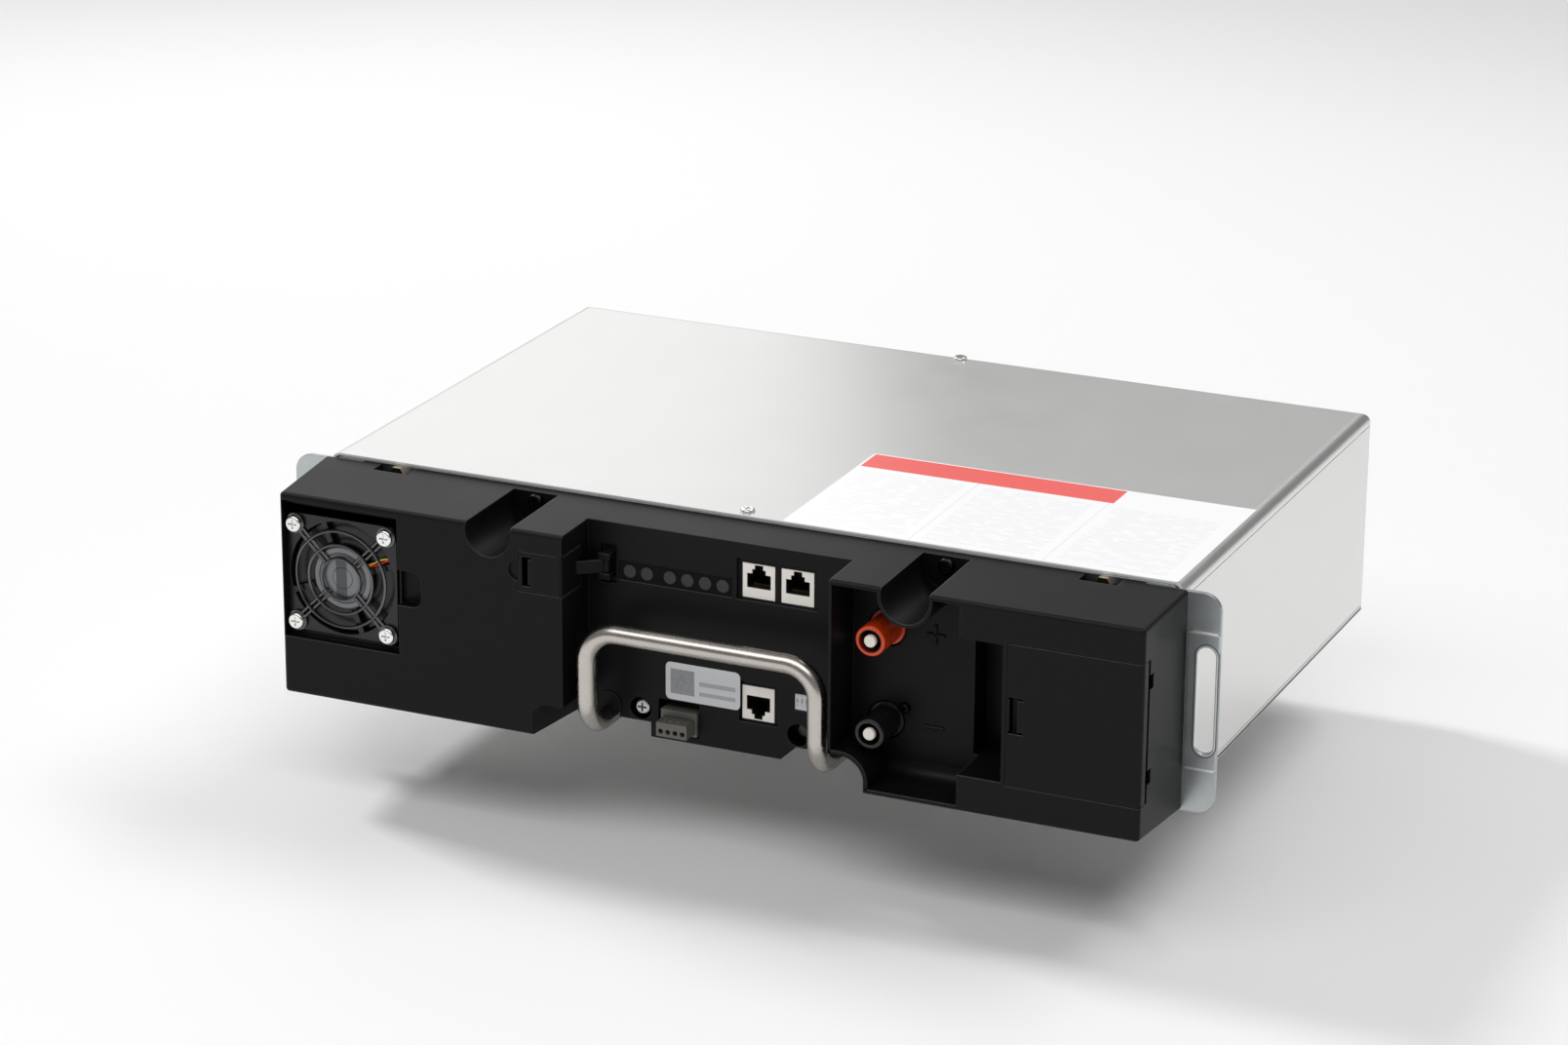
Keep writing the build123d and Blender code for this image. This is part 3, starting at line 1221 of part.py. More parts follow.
NODES = {
    "top_cover": top_cover,
    "side_wrap": side_wrap,
    "bottom_cover": bottom_cover,
    "top_cover_screws": top_cover_screws,
    "front_plate": front_plate,
    "right_rack_ear": lambda: rack_ear(1),
    "left_rack_ear": lambda: rack_ear(-1),
    "ear_rivets": ear_rivets,
    "front_cover": front_cover,
    "cable_door": cable_door,
    "comm_door": comm_door,
    "status_window": status_window,
    "status_lamps": status_lamps,
    "fan_frame": fan_frame,
    "fan_rotor": fan_rotor,
    "fan_guard": fan_guard,
    "fan_screws": fan_screws,
    "handle": handle,
    "handle_nuts": handle_nuts,
    "left_jack": lambda: jack(*jack_places()[0]),
    "right_jack": lambda: jack(*jack_places()[1]),
    "lower_jack": lambda: jack(*jack_places()[2]),
    "jack_contacts": jack_contacts,
    "terminal_header": terminal_header,
    "terminal_plug": terminal_plug,
    "clamp_screws": clamp_screws,
    "address_switch": address_switch,
    "positive_sleeve": lambda: power_sleeve(PLUS_Z),
    "negative_sleeve": lambda: power_sleeve(MINUS_Z),
    "positive_pin": lambda: power_pin(PLUS_Z),
    "negative_pin": lambda: power_pin(MINUS_Z),
    "pin_caps": pin_caps,
    "connector_screws": connector_screws,
    "channel_screws": channel_screws,
    "flange_screws": flange_screws,
    "earth_screws": earth_screws,
    "cells": cells,
    "compression_pads": compression_pads,
    "front_end_plate": lambda: end_plate(PACK_FRONT - END_PLATE),
    "back_end_plate": lambda: end_plate(PACK_BACK),
    "tie_rods": tie_rods,
    "cell_links": cell_links,
    "insulation_sheet": insulation_sheet,
    "management_board": management_board,
    "board_supports": board_supports,
    "interface_board": interface_board,
    "interface_standoffs": interface_standoffs,
    "main_fuse": main_fuse,
    "contactor": contactor,
    "current_shunt": current_shunt,
    "positive_bar": lambda: power_bar(PLUS_Z, FUSE_X[1] - 2),
    "negative_bar": lambda: power_bar(MINUS_Z, SHUNT_X[1]),
}

os.makedirs("parts", exist_ok=True)
for name, make in NODES.items():
    export_step(make(), f"parts/{name}.step")
    print(name)
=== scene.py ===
# %% [markdown]
# # A rack-mount battery module, dressed
# The solids come finished from the CAD model: a folded steel case, a black moulded front, a fan, a handle and
# sockets.
# This lesson gives each of them its finish, adds the labels and small marks that are too thin to be worth a solid,
# and then builds the floor, the lights and the camera. All lengths are in metres, in the CAD model's own frame.

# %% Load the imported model
import math

import bmesh
import bpy
from mathutils import Matrix, Vector


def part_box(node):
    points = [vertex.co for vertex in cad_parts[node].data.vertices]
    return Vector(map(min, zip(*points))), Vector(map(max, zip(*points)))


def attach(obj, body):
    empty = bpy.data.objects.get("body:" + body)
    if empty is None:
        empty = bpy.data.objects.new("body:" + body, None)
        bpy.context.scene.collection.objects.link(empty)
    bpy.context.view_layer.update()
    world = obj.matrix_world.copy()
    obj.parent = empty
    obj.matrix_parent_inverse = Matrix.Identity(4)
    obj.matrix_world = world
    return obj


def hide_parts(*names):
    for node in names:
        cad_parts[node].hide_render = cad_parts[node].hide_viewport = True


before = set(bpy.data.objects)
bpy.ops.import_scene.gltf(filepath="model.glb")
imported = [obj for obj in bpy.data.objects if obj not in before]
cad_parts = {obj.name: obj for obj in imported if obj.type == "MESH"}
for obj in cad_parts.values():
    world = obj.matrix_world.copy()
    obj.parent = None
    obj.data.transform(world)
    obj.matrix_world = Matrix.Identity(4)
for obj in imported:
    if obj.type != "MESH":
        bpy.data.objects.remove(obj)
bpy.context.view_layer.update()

# %% [markdown]
# The front of the module is measured from the CAD boxes, so a label still sits on its panel when the model changes.
# `MM` turns the millimetres of a drawing into metres.

# %% Measure the places that the new pieces need
MM = 0.001
case_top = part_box("top_cover")[1].z
case_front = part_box("top_cover")[0].y
panel_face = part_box("status_window")[0].y - 0.2 * MM
terminal_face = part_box("connector_screws")[0].y + 2.4 * MM
fan_low, fan_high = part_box("fan_frame")
fan_centre = (fan_low + fan_high) / 2
hub_face = fan_low.y + 0.2 * MM
jack_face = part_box("right_jack")[0].y
pin_centre = sum(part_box("positive_pin"), Vector()) / 2
print("case top", round(case_top, 4), "middle panel", round(panel_face, 4), "hub", round(hub_face, 4))

# %% [markdown]
# Shader arithmetic reads badly as boxes and wires, so one small class wraps a socket and answers to +, -, * and /.
# Its `node` method makes any other node: the settings are set first, then each inlet gets a value or a wire.

# %% A socket that answers to arithmetic
class Wire:
    def __init__(self, tree, socket=None):
        self.tree = tree
        self.socket = socket

    def node(self, kind, settings=None, inlets=None, outlet=0):
        made = self.tree.nodes.new(kind)
        for name, value in (settings or {}).items():
            if name == "stops":
                for stop, (place, colour) in zip(made.color_ramp.elements, value):
                    stop.position = place
                    stop.color = colour
            else:
                setattr(made, name, value)
        for name, value in (inlets or {}).items():
            if isinstance(value, Wire):
                self.tree.links.new(value.socket, made.inputs[name])
            else:
                made.inputs[name].default_value = value
        return Wire(self.tree, made.outputs[outlet])

    def maths(self, operation, first, second=0.0):
        return self.node("ShaderNodeMath", {"operation": operation}, {0: first, 1: second})

    def __add__(self, other):
        return self.maths("ADD", self, other)

    def __sub__(self, other):
        return self.maths("SUBTRACT", self, other)

    def __rsub__(self, other):
        return self.maths("SUBTRACT", other, self)

    def __mul__(self, other):
        return self.maths("MULTIPLY", self, other)

    def __truediv__(self, other):
        return self.maths("DIVIDE", self, other)

    def __gt__(self, other):
        return self.maths("GREATER_THAN", self, other)

    def __lt__(self, other):
        return self.maths("LESS_THAN", self, other)

    def fraction(self):
        return self.maths("FRACT", self)

    def between(self, low, high):
        return (self > low) * (self < high)

    __radd__ = __add__
    __rmul__ = __mul__


print("operators ready")

# %% [markdown]
# Every finish starts in the same way: a Principled shader, and the object's own coordinates in millimetres.
# Object coordinates keep a pattern at its real scale on each piece. A grain is given as its size in millimetres.

# %% Start a finish
class Finish:
    def __init__(self, name, colour, roughness, metallic=0.0, **constants):
        self.material = bpy.data.materials.new(name)
        self.material.use_nodes = True
        tree = self.material.node_tree
        self.shader = tree.nodes["Principled BSDF"]
        self.shader.inputs["Base Color"].default_value = (*colour, 1)
        self.shader.inputs["Roughness"].default_value = roughness
        self.shader.inputs["Metallic"].default_value = metallic
        for inlet, value in constants.items():
            self.shader.inputs[inlet.replace("_", " ")].default_value = value
        self.colour = colour
        self.roughness = roughness
        self.start = Wire(tree)
        place = self.start.node("ShaderNodeTexCoord", outlet="Object")
        self.place = self.start.node(
            "ShaderNodeVectorMath", {"operation": "SCALE"}, {0: place, "Scale": 1000.0}
        )
        parts = self.start.node("ShaderNodeSeparateXYZ", {}, {0: self.place})
        sockets = parts.socket.node.outputs
        self.x, self.y, self.z = (Wire(tree, sockets[axis]) for axis in "XYZ")

    def grain(self, size, detail=2.0, stretch=(1.0, 1.0, 1.0)):
        """Noise whose lumps are about size millimetres across, longer where stretch is over 1."""
        scale = tuple(1.0 / (size * share) for share in stretch)
        place = self.start.node("ShaderNodeVectorMath", {"operation": "MULTIPLY"}, {0: self.place, 1: scale})
        return self.start.node("ShaderNodeTexNoise", {}, {"Vector": place, "Scale": 1.0, "Detail": detail})

    def mix(self, share, first, second):
        return self.start.node(
            "ShaderNodeMix", {"data_type": "RGBA"}, {0: share, 6: first, 7: second}, outlet=2
        )

    def feed(self, inlet, wire):
        self.start.tree.links.new(wire.socket, self.shader.inputs[inlet])

    def vary_colour(self, wire, amount):
        """Darkens and lightens the base colour by amount either way."""
        dark = (*(c * (1 - amount) for c in self.colour), 1)
        light = (*(min(1, c * (1 + amount)) for c in self.colour), 1)
        self.feed("Base Color", self.mix(wire, dark, light))

    def vary_roughness(self, wire, amount):
        self.feed("Roughness", wire * (2 * amount) + (self.roughness - amount))

    def relief(self, height, depth, edge=0.0):
        """Bumps of depth millimetres, over edges that look rounded to a radius of edge millimetres."""
        inlets = {"Height": height, "Distance": depth * MM, "Strength": 1.0}
        if edge:
            inlets["Normal"] = self.start.node("ShaderNodeBevel", {"samples": 4}, {"Radius": edge * MM})
        self.feed("Normal", self.start.node("ShaderNodeBump", {}, inlets))


print("finish builder ready")

# %% [markdown]
# ## Moulded black plastic
# The cover comes from a spark-eroded mould, so it has a fine, even grain that spreads its highlights.
# Real mouldings also have small radii on every edge. They catch the light as thin lines, and the Bevel node gives
# them without a single extra face. Those edges also get a painted highlight, a paler colour: the angle between the
# bevelled and the true normal finds them, and the highlight is strongest on the edges that look up, toward the
# lights.
# Ambient occlusion paints shade into inside corners, and keeps the painted highlight out of them.

# %% The black mouldings
# The paler colour of the painted edge highlight on the black mouldings.
EDGE_HIGHLIGHT_COLOUR = (0.26, 0.26, 0.27, 1)


def moulding(name, colour, roughness, grain_depth, edge, shine=0.35, edge_highlight=0.8):
    finish = Finish(name, colour, roughness, Specular_IOR_Level=shine)
    fine = finish.grain(0.45, 3.0)
    broad = finish.grain(38.0, 3.0)
    soft = finish.start.node("ShaderNodeBevel", {"samples": 4}, {"Radius": edge * MM})
    true = finish.start.node("ShaderNodeNewGeometry", outlet="Normal")
    turn = finish.start.node("ShaderNodeVectorMath", {"operation": "DOT_PRODUCT"}, {0: soft, 1: true}, outlet="Value")
    open_air = finish.start.node("ShaderNodeAmbientOcclusion", {"samples": 4}, {"Distance": 14 * MM}, outlet="AO")
    outside = finish.start.maths("MAXIMUM", open_air * 2.2 - 1.2, 0.0)
    # lift and reach weight the painted highlight toward edges that face up.
    lift = finish.start.node("ShaderNodeSeparateXYZ", {}, {0: soft}, outlet="Z")
    reach = finish.start.maths("MAXIMUM", lift, 0.12)
    # rim is a painted highlight: a paler colour along convex edges, kept out of inside corners.
    rim = finish.start.maths("MINIMUM", (1 - turn) * 3.2, 1.0) * outside * reach * edge_highlight
    # Painted shade: the colour goes darker where ambient occlusion finds inside corners.
    corner_shade = finish.mix(open_air, (*(c * 0.30 for c in colour), 1), (*(c * 1.12 for c in colour), 1))
    clouded = finish.mix(broad * 0.3, corner_shade, (*(c * 1.5 for c in colour), 1))
    finish.feed("Base Color", finish.mix(rim, clouded, EDGE_HIGHLIGHT_COLOUR))
    finish.vary_roughness(broad * 0.6 + fine * 0.4, 0.06)
    finish.relief(fine, grain_depth, edge)
    return finish.material


cover_black = moulding("grained_black_moulding", (0.0045, 0.0044, 0.0050), 0.40, 0.035, 0.9, 0.14)
fan_black = moulding("smooth_black_moulding", (0.006, 0.006, 0.0065), 0.28, 0.012, 0.5, 0.45)
window_black = moulding("smoked_window", (0.0060, 0.0060, 0.0064), 0.42, 0.010, 0.15, 0.05, 0.2)
print("black mouldings ready")

# %% [markdown]
# ## Sheet steel
# The case is bright zinc-coated steel. Up close it has faint clouds from the coating bath and very fine rolling
# lines.
# A dark line marks the seam of the bottom fold, and the sheet's cut front edge is left unplated and pale.
# Clouds and lines are weak: they move the roughness a little, and the big soft reflection does the rest.

# %% The case, ears and brackets
SEAM_BAND = (1.2, 2.5)
SEAM_BLACK = (0.02, 0.02, 0.02, 1)


def sheet_metal(name, colour, roughness, cloud, cloud_amount, lines, edge, cut_edge=None):
    finish = Finish(name, colour, roughness, 1.0)
    clouds = finish.grain(cloud, 4.0)
    rolled = finish.grain(0.5, 2.0, lines)
    finish.vary_colour(clouds, cloud_amount)
    finish.vary_roughness(clouds * 0.6 + rolled * 0.4, 0.07)
    finish.relief(rolled, 0.004, edge)
    if cut_edge is not None:
        finish.feed("Metallic", finish.y > cut_edge)
        pale = finish.mix(clouds, tuple(c * (1 - cloud_amount) for c in colour) + (1,), (*colour, 1))
        finish.feed("Base Color", finish.mix(finish.z.between(*SEAM_BAND), pale, SEAM_BLACK))
    return finish.material


case_steel = sheet_metal(
    "bright_case_steel", (0.80, 0.80, 0.79), 0.34, 30.0, 0.03, (60.0, 1.0, 1.0), 0.4, case_front / MM + 0.1
)
ear_zinc = sheet_metal("blue_zinc_plate", (0.50, 0.53, 0.535), 0.34, 7.0, 0.13, (1.0, 1.0, 8.0), 0.8)
print("sheet metals ready")

# %% [markdown]
# The handle is stainless bar that was belt-polished before it was bent, so its scratches run round the bar.
# Screws are barrel-plated: bright, nearly smooth and a little uneven.

# %% Bar, screws and other turned metal
def turned_metal(name, colour, roughness, scratch, stretch, depth=0.004, edge=0.15):
    finish = Finish(name, colour, roughness, 1.0)
    scratches = finish.grain(scratch, 3.0, stretch)
    stains = finish.grain(11.0, 3.0)
    finish.vary_colour(stains, 0.07)
    finish.vary_roughness(scratches * 0.7 + stains * 0.3, 0.09)
    finish.relief(scratches, depth, edge)
    return finish.material


handle_steel = turned_metal("satin_stainless_bar", (0.54, 0.51, 0.47), 0.26, 0.35, (1.0, 4.0, 4.0), 0.006, 0.0)
screw_bright = turned_metal("bright_plated_screw", (0.86, 0.86, 0.84), 0.20, 0.4, (1.0, 1.0, 1.0))
earth_brass = turned_metal("passivated_screw", (0.95, 0.80, 0.62), 0.22, 0.4, (1.0, 1.0, 1.0))
contact_gold = turned_metal("plated_contact", (0.83, 0.66, 0.30), 0.25, 0.3, (1.0, 1.0, 3.0))
bare_copper = turned_metal("bare_copper", (0.83, 0.47, 0.30), 0.32, 0.5, (8.0, 1.0, 1.0))
guard_wire = turned_metal("lacquered_wire", (0.13, 0.13, 0.135), 0.20, 0.5, (1.0, 1.0, 1.0), 0.004, 0.0)
# The channel screws are coloured near black as painted shade, for the shade inside the channels.
shade_dark_screw = turned_metal("shade_darkened_screw", (0.030, 0.030, 0.032), 0.30, 0.4, (1.0, 1.0, 1.0))
# The jack contacts are coloured dark as painted shade, for the shade inside the ports.
port_shaded_contact = turned_metal("port_shaded_contact", (0.10, 0.07, 0.03), 0.40, 0.3, (1.0, 1.0, 3.0))
print("turned metals ready")

# %% [markdown]
# The screw beside the upper sleeve is plated, and the one beside the lower sleeve is black.

# %% Screws of the power sleeves
PLATED = (0.62, 0.62, 0.60)


def connector_screw_plate():
    finish = Finish("connector_plate", PLATED, 0.28, 1.0)
    blackened = finish.z < (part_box("positive_pin")[0].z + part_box("negative_pin")[1].z) / 2 / MM
    finish.feed("Base Color", finish.mix(blackened, (*PLATED, 1), (0.012, 0.012, 0.013, 1)))
    finish.vary_roughness(finish.grain(2.0), 0.08)
    finish.relief(finish.grain(0.6), 0.01)
    return finish.material


connector_plate = connector_screw_plate()
print("connector screws ready")

# %% [markdown]
# ## Small mouldings
# Jacks, the terminal plug, the sleeves and the lamp windows are smooth injection mouldings in clear colours.
# They share one recipe: a slight tone drift, as pigment always has, and a satin that varies by a few percent.
# The jacks and the positive sleeve also get painted shade: near black inside their ports and bore.

# %% Coloured plastics, boards and cell foil
def plain_plastic(name, colour, roughness, lump=6.0, amount=0.06, depth=0.006, edge=0.25, shade=None):
    finish = Finish(name, colour, roughness)
    drift = finish.grain(lump, 3.0)
    if shade is None:
        finish.vary_colour(drift, amount)
    else:
        pale = finish.mix(drift, (*(c * (1 - amount) for c in colour), 1), (*(c * (1 + amount) for c in colour), 1))
        finish.feed("Base Color", finish.mix(shade(finish), pale, (*(c * 0.012 for c in colour), 1)))
    finish.vary_roughness(drift, 0.05)
    finish.relief(finish.grain(0.6, 2.0), depth, edge)
    return finish.material


def jack_port_shade(finish):
    """One inside the ports, where the ivory is painted near black as shade, and zero on the ivory face."""
    return finish.y > jack_face / MM + 0.5


def inside_bore(finish):
    """One inside the positive sleeve's bore, nearest the pin, where the orange is painted dark as shade."""
    x, z = finish.x - pin_centre.x / MM, finish.z - pin_centre.z / MM
    return (finish.start.maths("SQRT", x * x + z * z) < 5.9) * 0.8


jack_ivory = plain_plastic("jack_ivory", (0.93, 0.89, 0.82), 0.36, shade=jack_port_shade)
terminal_grey = plain_plastic("terminal_grey", (0.115, 0.112, 0.098), 0.42)
switch_white = plain_plastic("switch_white", (0.74, 0.75, 0.78), 0.40)
sleeve_orange = plain_plastic("sleeve_orange", (0.66, 0.052, 0.004), 0.28, shade=inside_bore)
cap_white = plain_plastic("cap_white", (0.84, 0.80, 0.72), 0.38)
lamp_grey = plain_plastic("lamp_grey", (0.022, 0.022, 0.023), 0.45, 2.0, 0.12)
liner_white = plain_plastic("liner_sheet", (0.72, 0.72, 0.69), 0.55)
ceramic = plain_plastic("fuse_ceramic", (0.66, 0.62, 0.54), 0.35)
foam_grey = plain_plastic("foam_pad", (0.11, 0.11, 0.115), 0.85, 1.2, 0.25, 0.15, 0.0)
board_green = plain_plastic("solder_mask", (0.012, 0.105, 0.045), 0.28, 3.0, 0.20)
cell_foil = sheet_metal("pouch_foil", (0.70, 0.70, 0.72), 0.38, 14.0, 0.08, (1.0, 1.0, 1.0), 0.6)
print("plastics ready")

# %% [markdown]
# ## Dress the CAD nodes
# A CAD node is never moved or reshaped. Its finish goes into the material slots of its own object.

# %% Give each node its finish
dress = {
    case_steel: ["top_cover", "side_wrap", "bottom_cover"],
    ear_zinc: ["front_plate", "right_rack_ear", "left_rack_ear", "ear_rivets", "front_end_plate", "back_end_plate"],
    cover_black: ["front_cover", "cable_door", "comm_door"],
    fan_black: ["fan_frame", "fan_rotor", "negative_sleeve", "contactor"],
    window_black: ["status_window"],
    handle_steel: ["handle"],
    guard_wire: ["fan_guard"],
    # Painted shade: the screws in the cover's channels get the near-black finish.
    shade_dark_screw: ["channel_screws"],
    port_shaded_contact: ["jack_contacts"],
    screw_bright: [
        "top_cover_screws", "fan_screws", "handle_nuts", "clamp_screws",
        "flange_screws", "tie_rods", "board_supports", "interface_standoffs",
    ],
    connector_plate: ["connector_screws"],
    earth_brass: ["earth_screws"],
    contact_gold: ["positive_pin", "negative_pin"],
    bare_copper: ["cell_links", "current_shunt", "positive_bar", "negative_bar"],
    jack_ivory: ["left_jack", "right_jack", "lower_jack"],
    terminal_grey: ["terminal_header", "terminal_plug"],
    switch_white: ["address_switch"],
    sleeve_orange: ["positive_sleeve"],
    cap_white: ["pin_caps"],
    lamp_grey: ["status_lamps"],
    liner_white: ["insulation_sheet"],
    ceramic: ["main_fuse"],
    foam_grey: ["compression_pads"],
    board_green: ["management_board", "interface_board"],
    cell_foil: ["cells"],
}
dressed = 0
for material, names in dress.items():
    for name in names:
        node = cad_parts[name]
        if not node.material_slots:
            node.data.materials.append(material)
        for slot in node.material_slots:
            slot.link = "OBJECT"
            slot.material = material
        dressed += 1
print("dressed", dressed, "of", len(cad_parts), "nodes")

# %% [markdown]
# ## Thin pieces
# Labels and marks are fractions of a millimetre thick. Each starts as a flat plate on the operator's own grid, gets
# its corners rounded, and is then thickened. The finished object sits at the origin with its place in its mesh.

# %% A rounded plate and how a piece joins the module
def add_piece(name, mesh, material, body="module"):
    bmesh.ops.recalc_face_normals(mesh, faces=mesh.faces)
    data = bpy.data.meshes.new(name)
    mesh.to_mesh(data)
    mesh.free()
    data.materials.append(material)
    piece = bpy.data.objects.new(name, data)
    bpy.context.collection.objects.link(piece)
    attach(piece, body)
    print(name, "triangles", sum(len(face.vertices) - 2 for face in data.polygons))
    return piece


def round_plate(width, height, thickness, corner, steps=6):
    """A plate on the XY plane with rounded corners, its underside at zero."""
    mesh = bmesh.new()
    bmesh.ops.create_grid(mesh, x_segments=1, y_segments=1, size=0.5)
    bmesh.ops.scale(mesh, vec=(width, height, 1), verts=mesh.verts)
    if corner:
        bmesh.ops.bevel(
            mesh, geom=mesh.verts[:], offset=corner, segments=steps, profile=0.5, affect="VERTICES", material=-1
        )
    grown = bmesh.ops.extrude_face_region(mesh, geom=mesh.faces[:])
    raised = [part for part in grown["geom"] if isinstance(part, bmesh.types.BMVert)]
    bmesh.ops.translate(mesh, vec=(0, 0, thickness), verts=raised)
    return mesh


def stand_on_front(mesh, x, face, z):
    """Turns a plate to face the front and sets its back on the panel at y = face."""
    place = Matrix.Translation((x, face, z)) @ Matrix.Rotation(math.radians(90), 4, "X")
    bmesh.ops.transform(mesh, matrix=place, verts=mesh.verts)
    return mesh


print("plate builder ready")

# %% [markdown]
# The sheet on top of the case is printed paper under film: white, with one red field and columns of pale rules.
# Its fields are worked out from the coordinates, so they stay sharp at any size. No wording is drawn.

# %% The top sheet's printed fields
sheet_left, sheet_right = 21.0, 219.0
sheet_front, sheet_back = case_front / MM + 0.6, case_front / MM + 111.2
band_right, band_front = 154.0, sheet_back - 20.5


def printed_sheet():
    finish = Finish("printed_top_sheet", (0.90, 0.90, 0.91), 0.32)
    x, y = finish.x, finish.y
    band = x.between(sheet_left + 1.2, band_right) * y.between(band_front, sheet_back - 1.0)
    line = (y / 3.1).fraction() < 0.42
    ragged = finish.grain(9.0, 1.0, (1.0, 0.34, 1.0)) > 0.44
    columns = x.between(27.0, 80.0) + x.between(90.0, 146.0) + x.between(157.0, 211.0)
    block = y.between(sheet_front + 5.0, band_front - 5.0)
    rules = line * ragged * columns * block * 0.20
    edges = x.between(84.8, 85.2) + x.between(151.8, 152.2)
    frame_lines = edges * y.between(sheet_front + 1.0, band_front) * 0.45
    grey = finish.mix(rules + frame_lines, (0.90, 0.90, 0.91, 1), (0.42, 0.43, 0.45, 1))
    finish.feed("Base Color", finish.mix(band, grey, (0.82, 0.100, 0.088, 1)))
    film = finish.grain(24.0, 2.0)
    finish.vary_roughness(film, 0.05)
    finish.relief(film, 0.02)
    return finish.material


width, depth = (sheet_right - sheet_left) * MM, (sheet_back - sheet_front) * MM
top_sheet = round_plate(width, depth, 0.12 * MM, 1.2 * MM)
middle = ((sheet_left + sheet_right) / 2 * MM, (sheet_front + sheet_back) / 2 * MM, case_top)
bmesh.ops.translate(top_sheet, vec=middle, verts=top_sheet.verts)
add_piece("top_sheet", top_sheet, printed_sheet())

# %% [markdown]
# The small plate between the handle's legs is silver-white film. It stays blank but for two plain grey fields.

# %% The small silver plate
plate_x, plate_z = -6.6, 30.2


def silver_film():
    finish = Finish("silver_film", (0.60, 0.61, 0.63), 0.30, 0.15)
    x, z = finish.x - plate_x, finish.z - plate_z
    field = x.between(-17.0, -4.5) * z.between(-6.3, 6.3)
    speckle = finish.grain(1.5, 1.0) * 0.25 + 0.55
    bars = x.between(-2.0, 17.0) * (z.between(-0.6, 1.6) + z.between(-5.6, -3.6))
    tone = finish.mix(field * speckle + bars * 0.45, (0.60, 0.61, 0.63, 1), (0.10, 0.10, 0.11, 1))
    finish.feed("Base Color", tone)
    finish.relief(finish.grain(7.0), 0.01)
    return finish.material


small_plate = stand_on_front(
    round_plate(39 * MM, 19 * MM, 0.15 * MM, 2.6 * MM), plate_x * MM, panel_face, plate_z * MM
)
add_piece("small_plate", small_plate, silver_film())

# %% [markdown]
# Each power pin has its sign moulded beside it, raised almost a millimetre. Two bars make the plus.

# %% Signs beside the power pins
sign_x = 113.0
plus_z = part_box("positive_pin")[0].z / MM + 5.5
minus_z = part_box("negative_pin")[0].z / MM + 5.5


def sign_bar(name, wide, high, z):
    bar = round_plate(wide * MM, high * MM, 0.9 * MM, 0.6 * MM)
    top = [edge for edge in bar.edges if min(v.co.z for v in edge.verts) > 0.8 * MM and len(edge.link_faces) == 2]
    bmesh.ops.bevel(bar, geom=top, offset=0.3 * MM, segments=3, profile=0.5, affect="EDGES", material=-1)
    stand_on_front(bar, sign_x * MM, terminal_face, z * MM)
    add_piece(name, bar, cover_black)


sign_bar("plus_sign_level", 10.0, 1.5, plus_z)
sign_bar("plus_sign_upright", 1.5, 10.0, plus_z)
sign_bar("minus_sign", 10.0, 1.5, minus_z)

# %% [markdown]
# ## Bent pieces
# A tube bender works in two moves: it pushes the bar forward, and it turns it round a former. The same two moves
# shape a mesh. Its one open rim is extruded along a line, or spun a quarter turn, until the piece is complete.

# %% Push and bend
def open_rim(mesh):
    return [edge for edge in mesh.edges if edge.is_boundary]


def push(mesh, step):
    grown = bmesh.ops.extrude_edge_only(mesh, edges=open_rim(mesh))["geom"]
    bmesh.ops.translate(mesh, vec=step, verts=[part for part in grown if isinstance(part, bmesh.types.BMVert)])


def bend(mesh, centre, axis, turn, steps=14):
    rim = open_rim(mesh)
    verts = list({vert for edge in rim for vert in edge.verts})
    bmesh.ops.spin(
        mesh, geom=verts + rim, cent=centre, axis=axis, dvec=(0, 0, 0), angle=math.radians(90 * turn), steps=steps
    )


def close_rim(mesh):
    bmesh.ops.holes_fill(mesh, edges=open_rim(mesh))
    return mesh


print("bender ready")

# %% [markdown]
# The handle's bar is bent four times. Its visible piece stands a few millimetres taller and wider than the plain
# solid and hangs lower, so it replaces that node. Two threaded studs carry it behind the front wall.

# %% Handle
BAR = 4.75 * MM
BEND = 16 * MM
SOLID_BAR = 5.0 * MM
FOOT_DROP = 5.0 * MM
grip_low, grip_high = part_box("handle")
bar_left = grip_low.x + SOLID_BAR
bar_right = grip_high.x - SOLID_BAR + 3.3 * MM
bar_out = grip_low.y + SOLID_BAR
bar_top = grip_high.z - SOLID_BAR + 2.3 * MM
bar_foot = grip_low.z + SOLID_BAR - FOOT_DROP

bar = bmesh.new()
start = Matrix.Translation((bar_left, case_front, bar_foot)) @ Matrix.Rotation(math.radians(90), 4, "X")
bmesh.ops.create_circle(bar, cap_ends=True, radius=BAR, segments=40, matrix=start)
push(bar, (0, bar_out + BEND - case_front, 0))
bend(bar, (bar_left, bar_out + BEND, bar_foot + BEND), (1, 0, 0), -1)
push(bar, (0, 0, bar_top - bar_foot - 2 * BEND))
bend(bar, (bar_left + BEND, bar_out, bar_top - BEND), (0, 1, 0), 1)
push(bar, (bar_right - bar_left - 2 * BEND, 0, 0))
bend(bar, (bar_right - BEND, bar_out, bar_top - BEND), (0, 1, 0), 1)
push(bar, (0, 0, bar_foot + 2 * BEND - bar_top))
bend(bar, (bar_right, bar_out + BEND, bar_foot + BEND), (1, 0, 0), 1)
push(bar, (0, case_front - bar_out - BEND, 0))
close_rim(bar)
for face in bar.faces:
    face.smooth = len(face.verts) == 4
handle_bar = add_piece("handle_bar", bar, handle_steel)
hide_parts("handle")
for word, corner in (("handle from", 0), ("to", 6)):
    print(word, [round(v, 4) for v in handle_bar.bound_box[corner]])

# %% [markdown]
# Where the bar enters the panel, a thin black collar closes the slot round it.

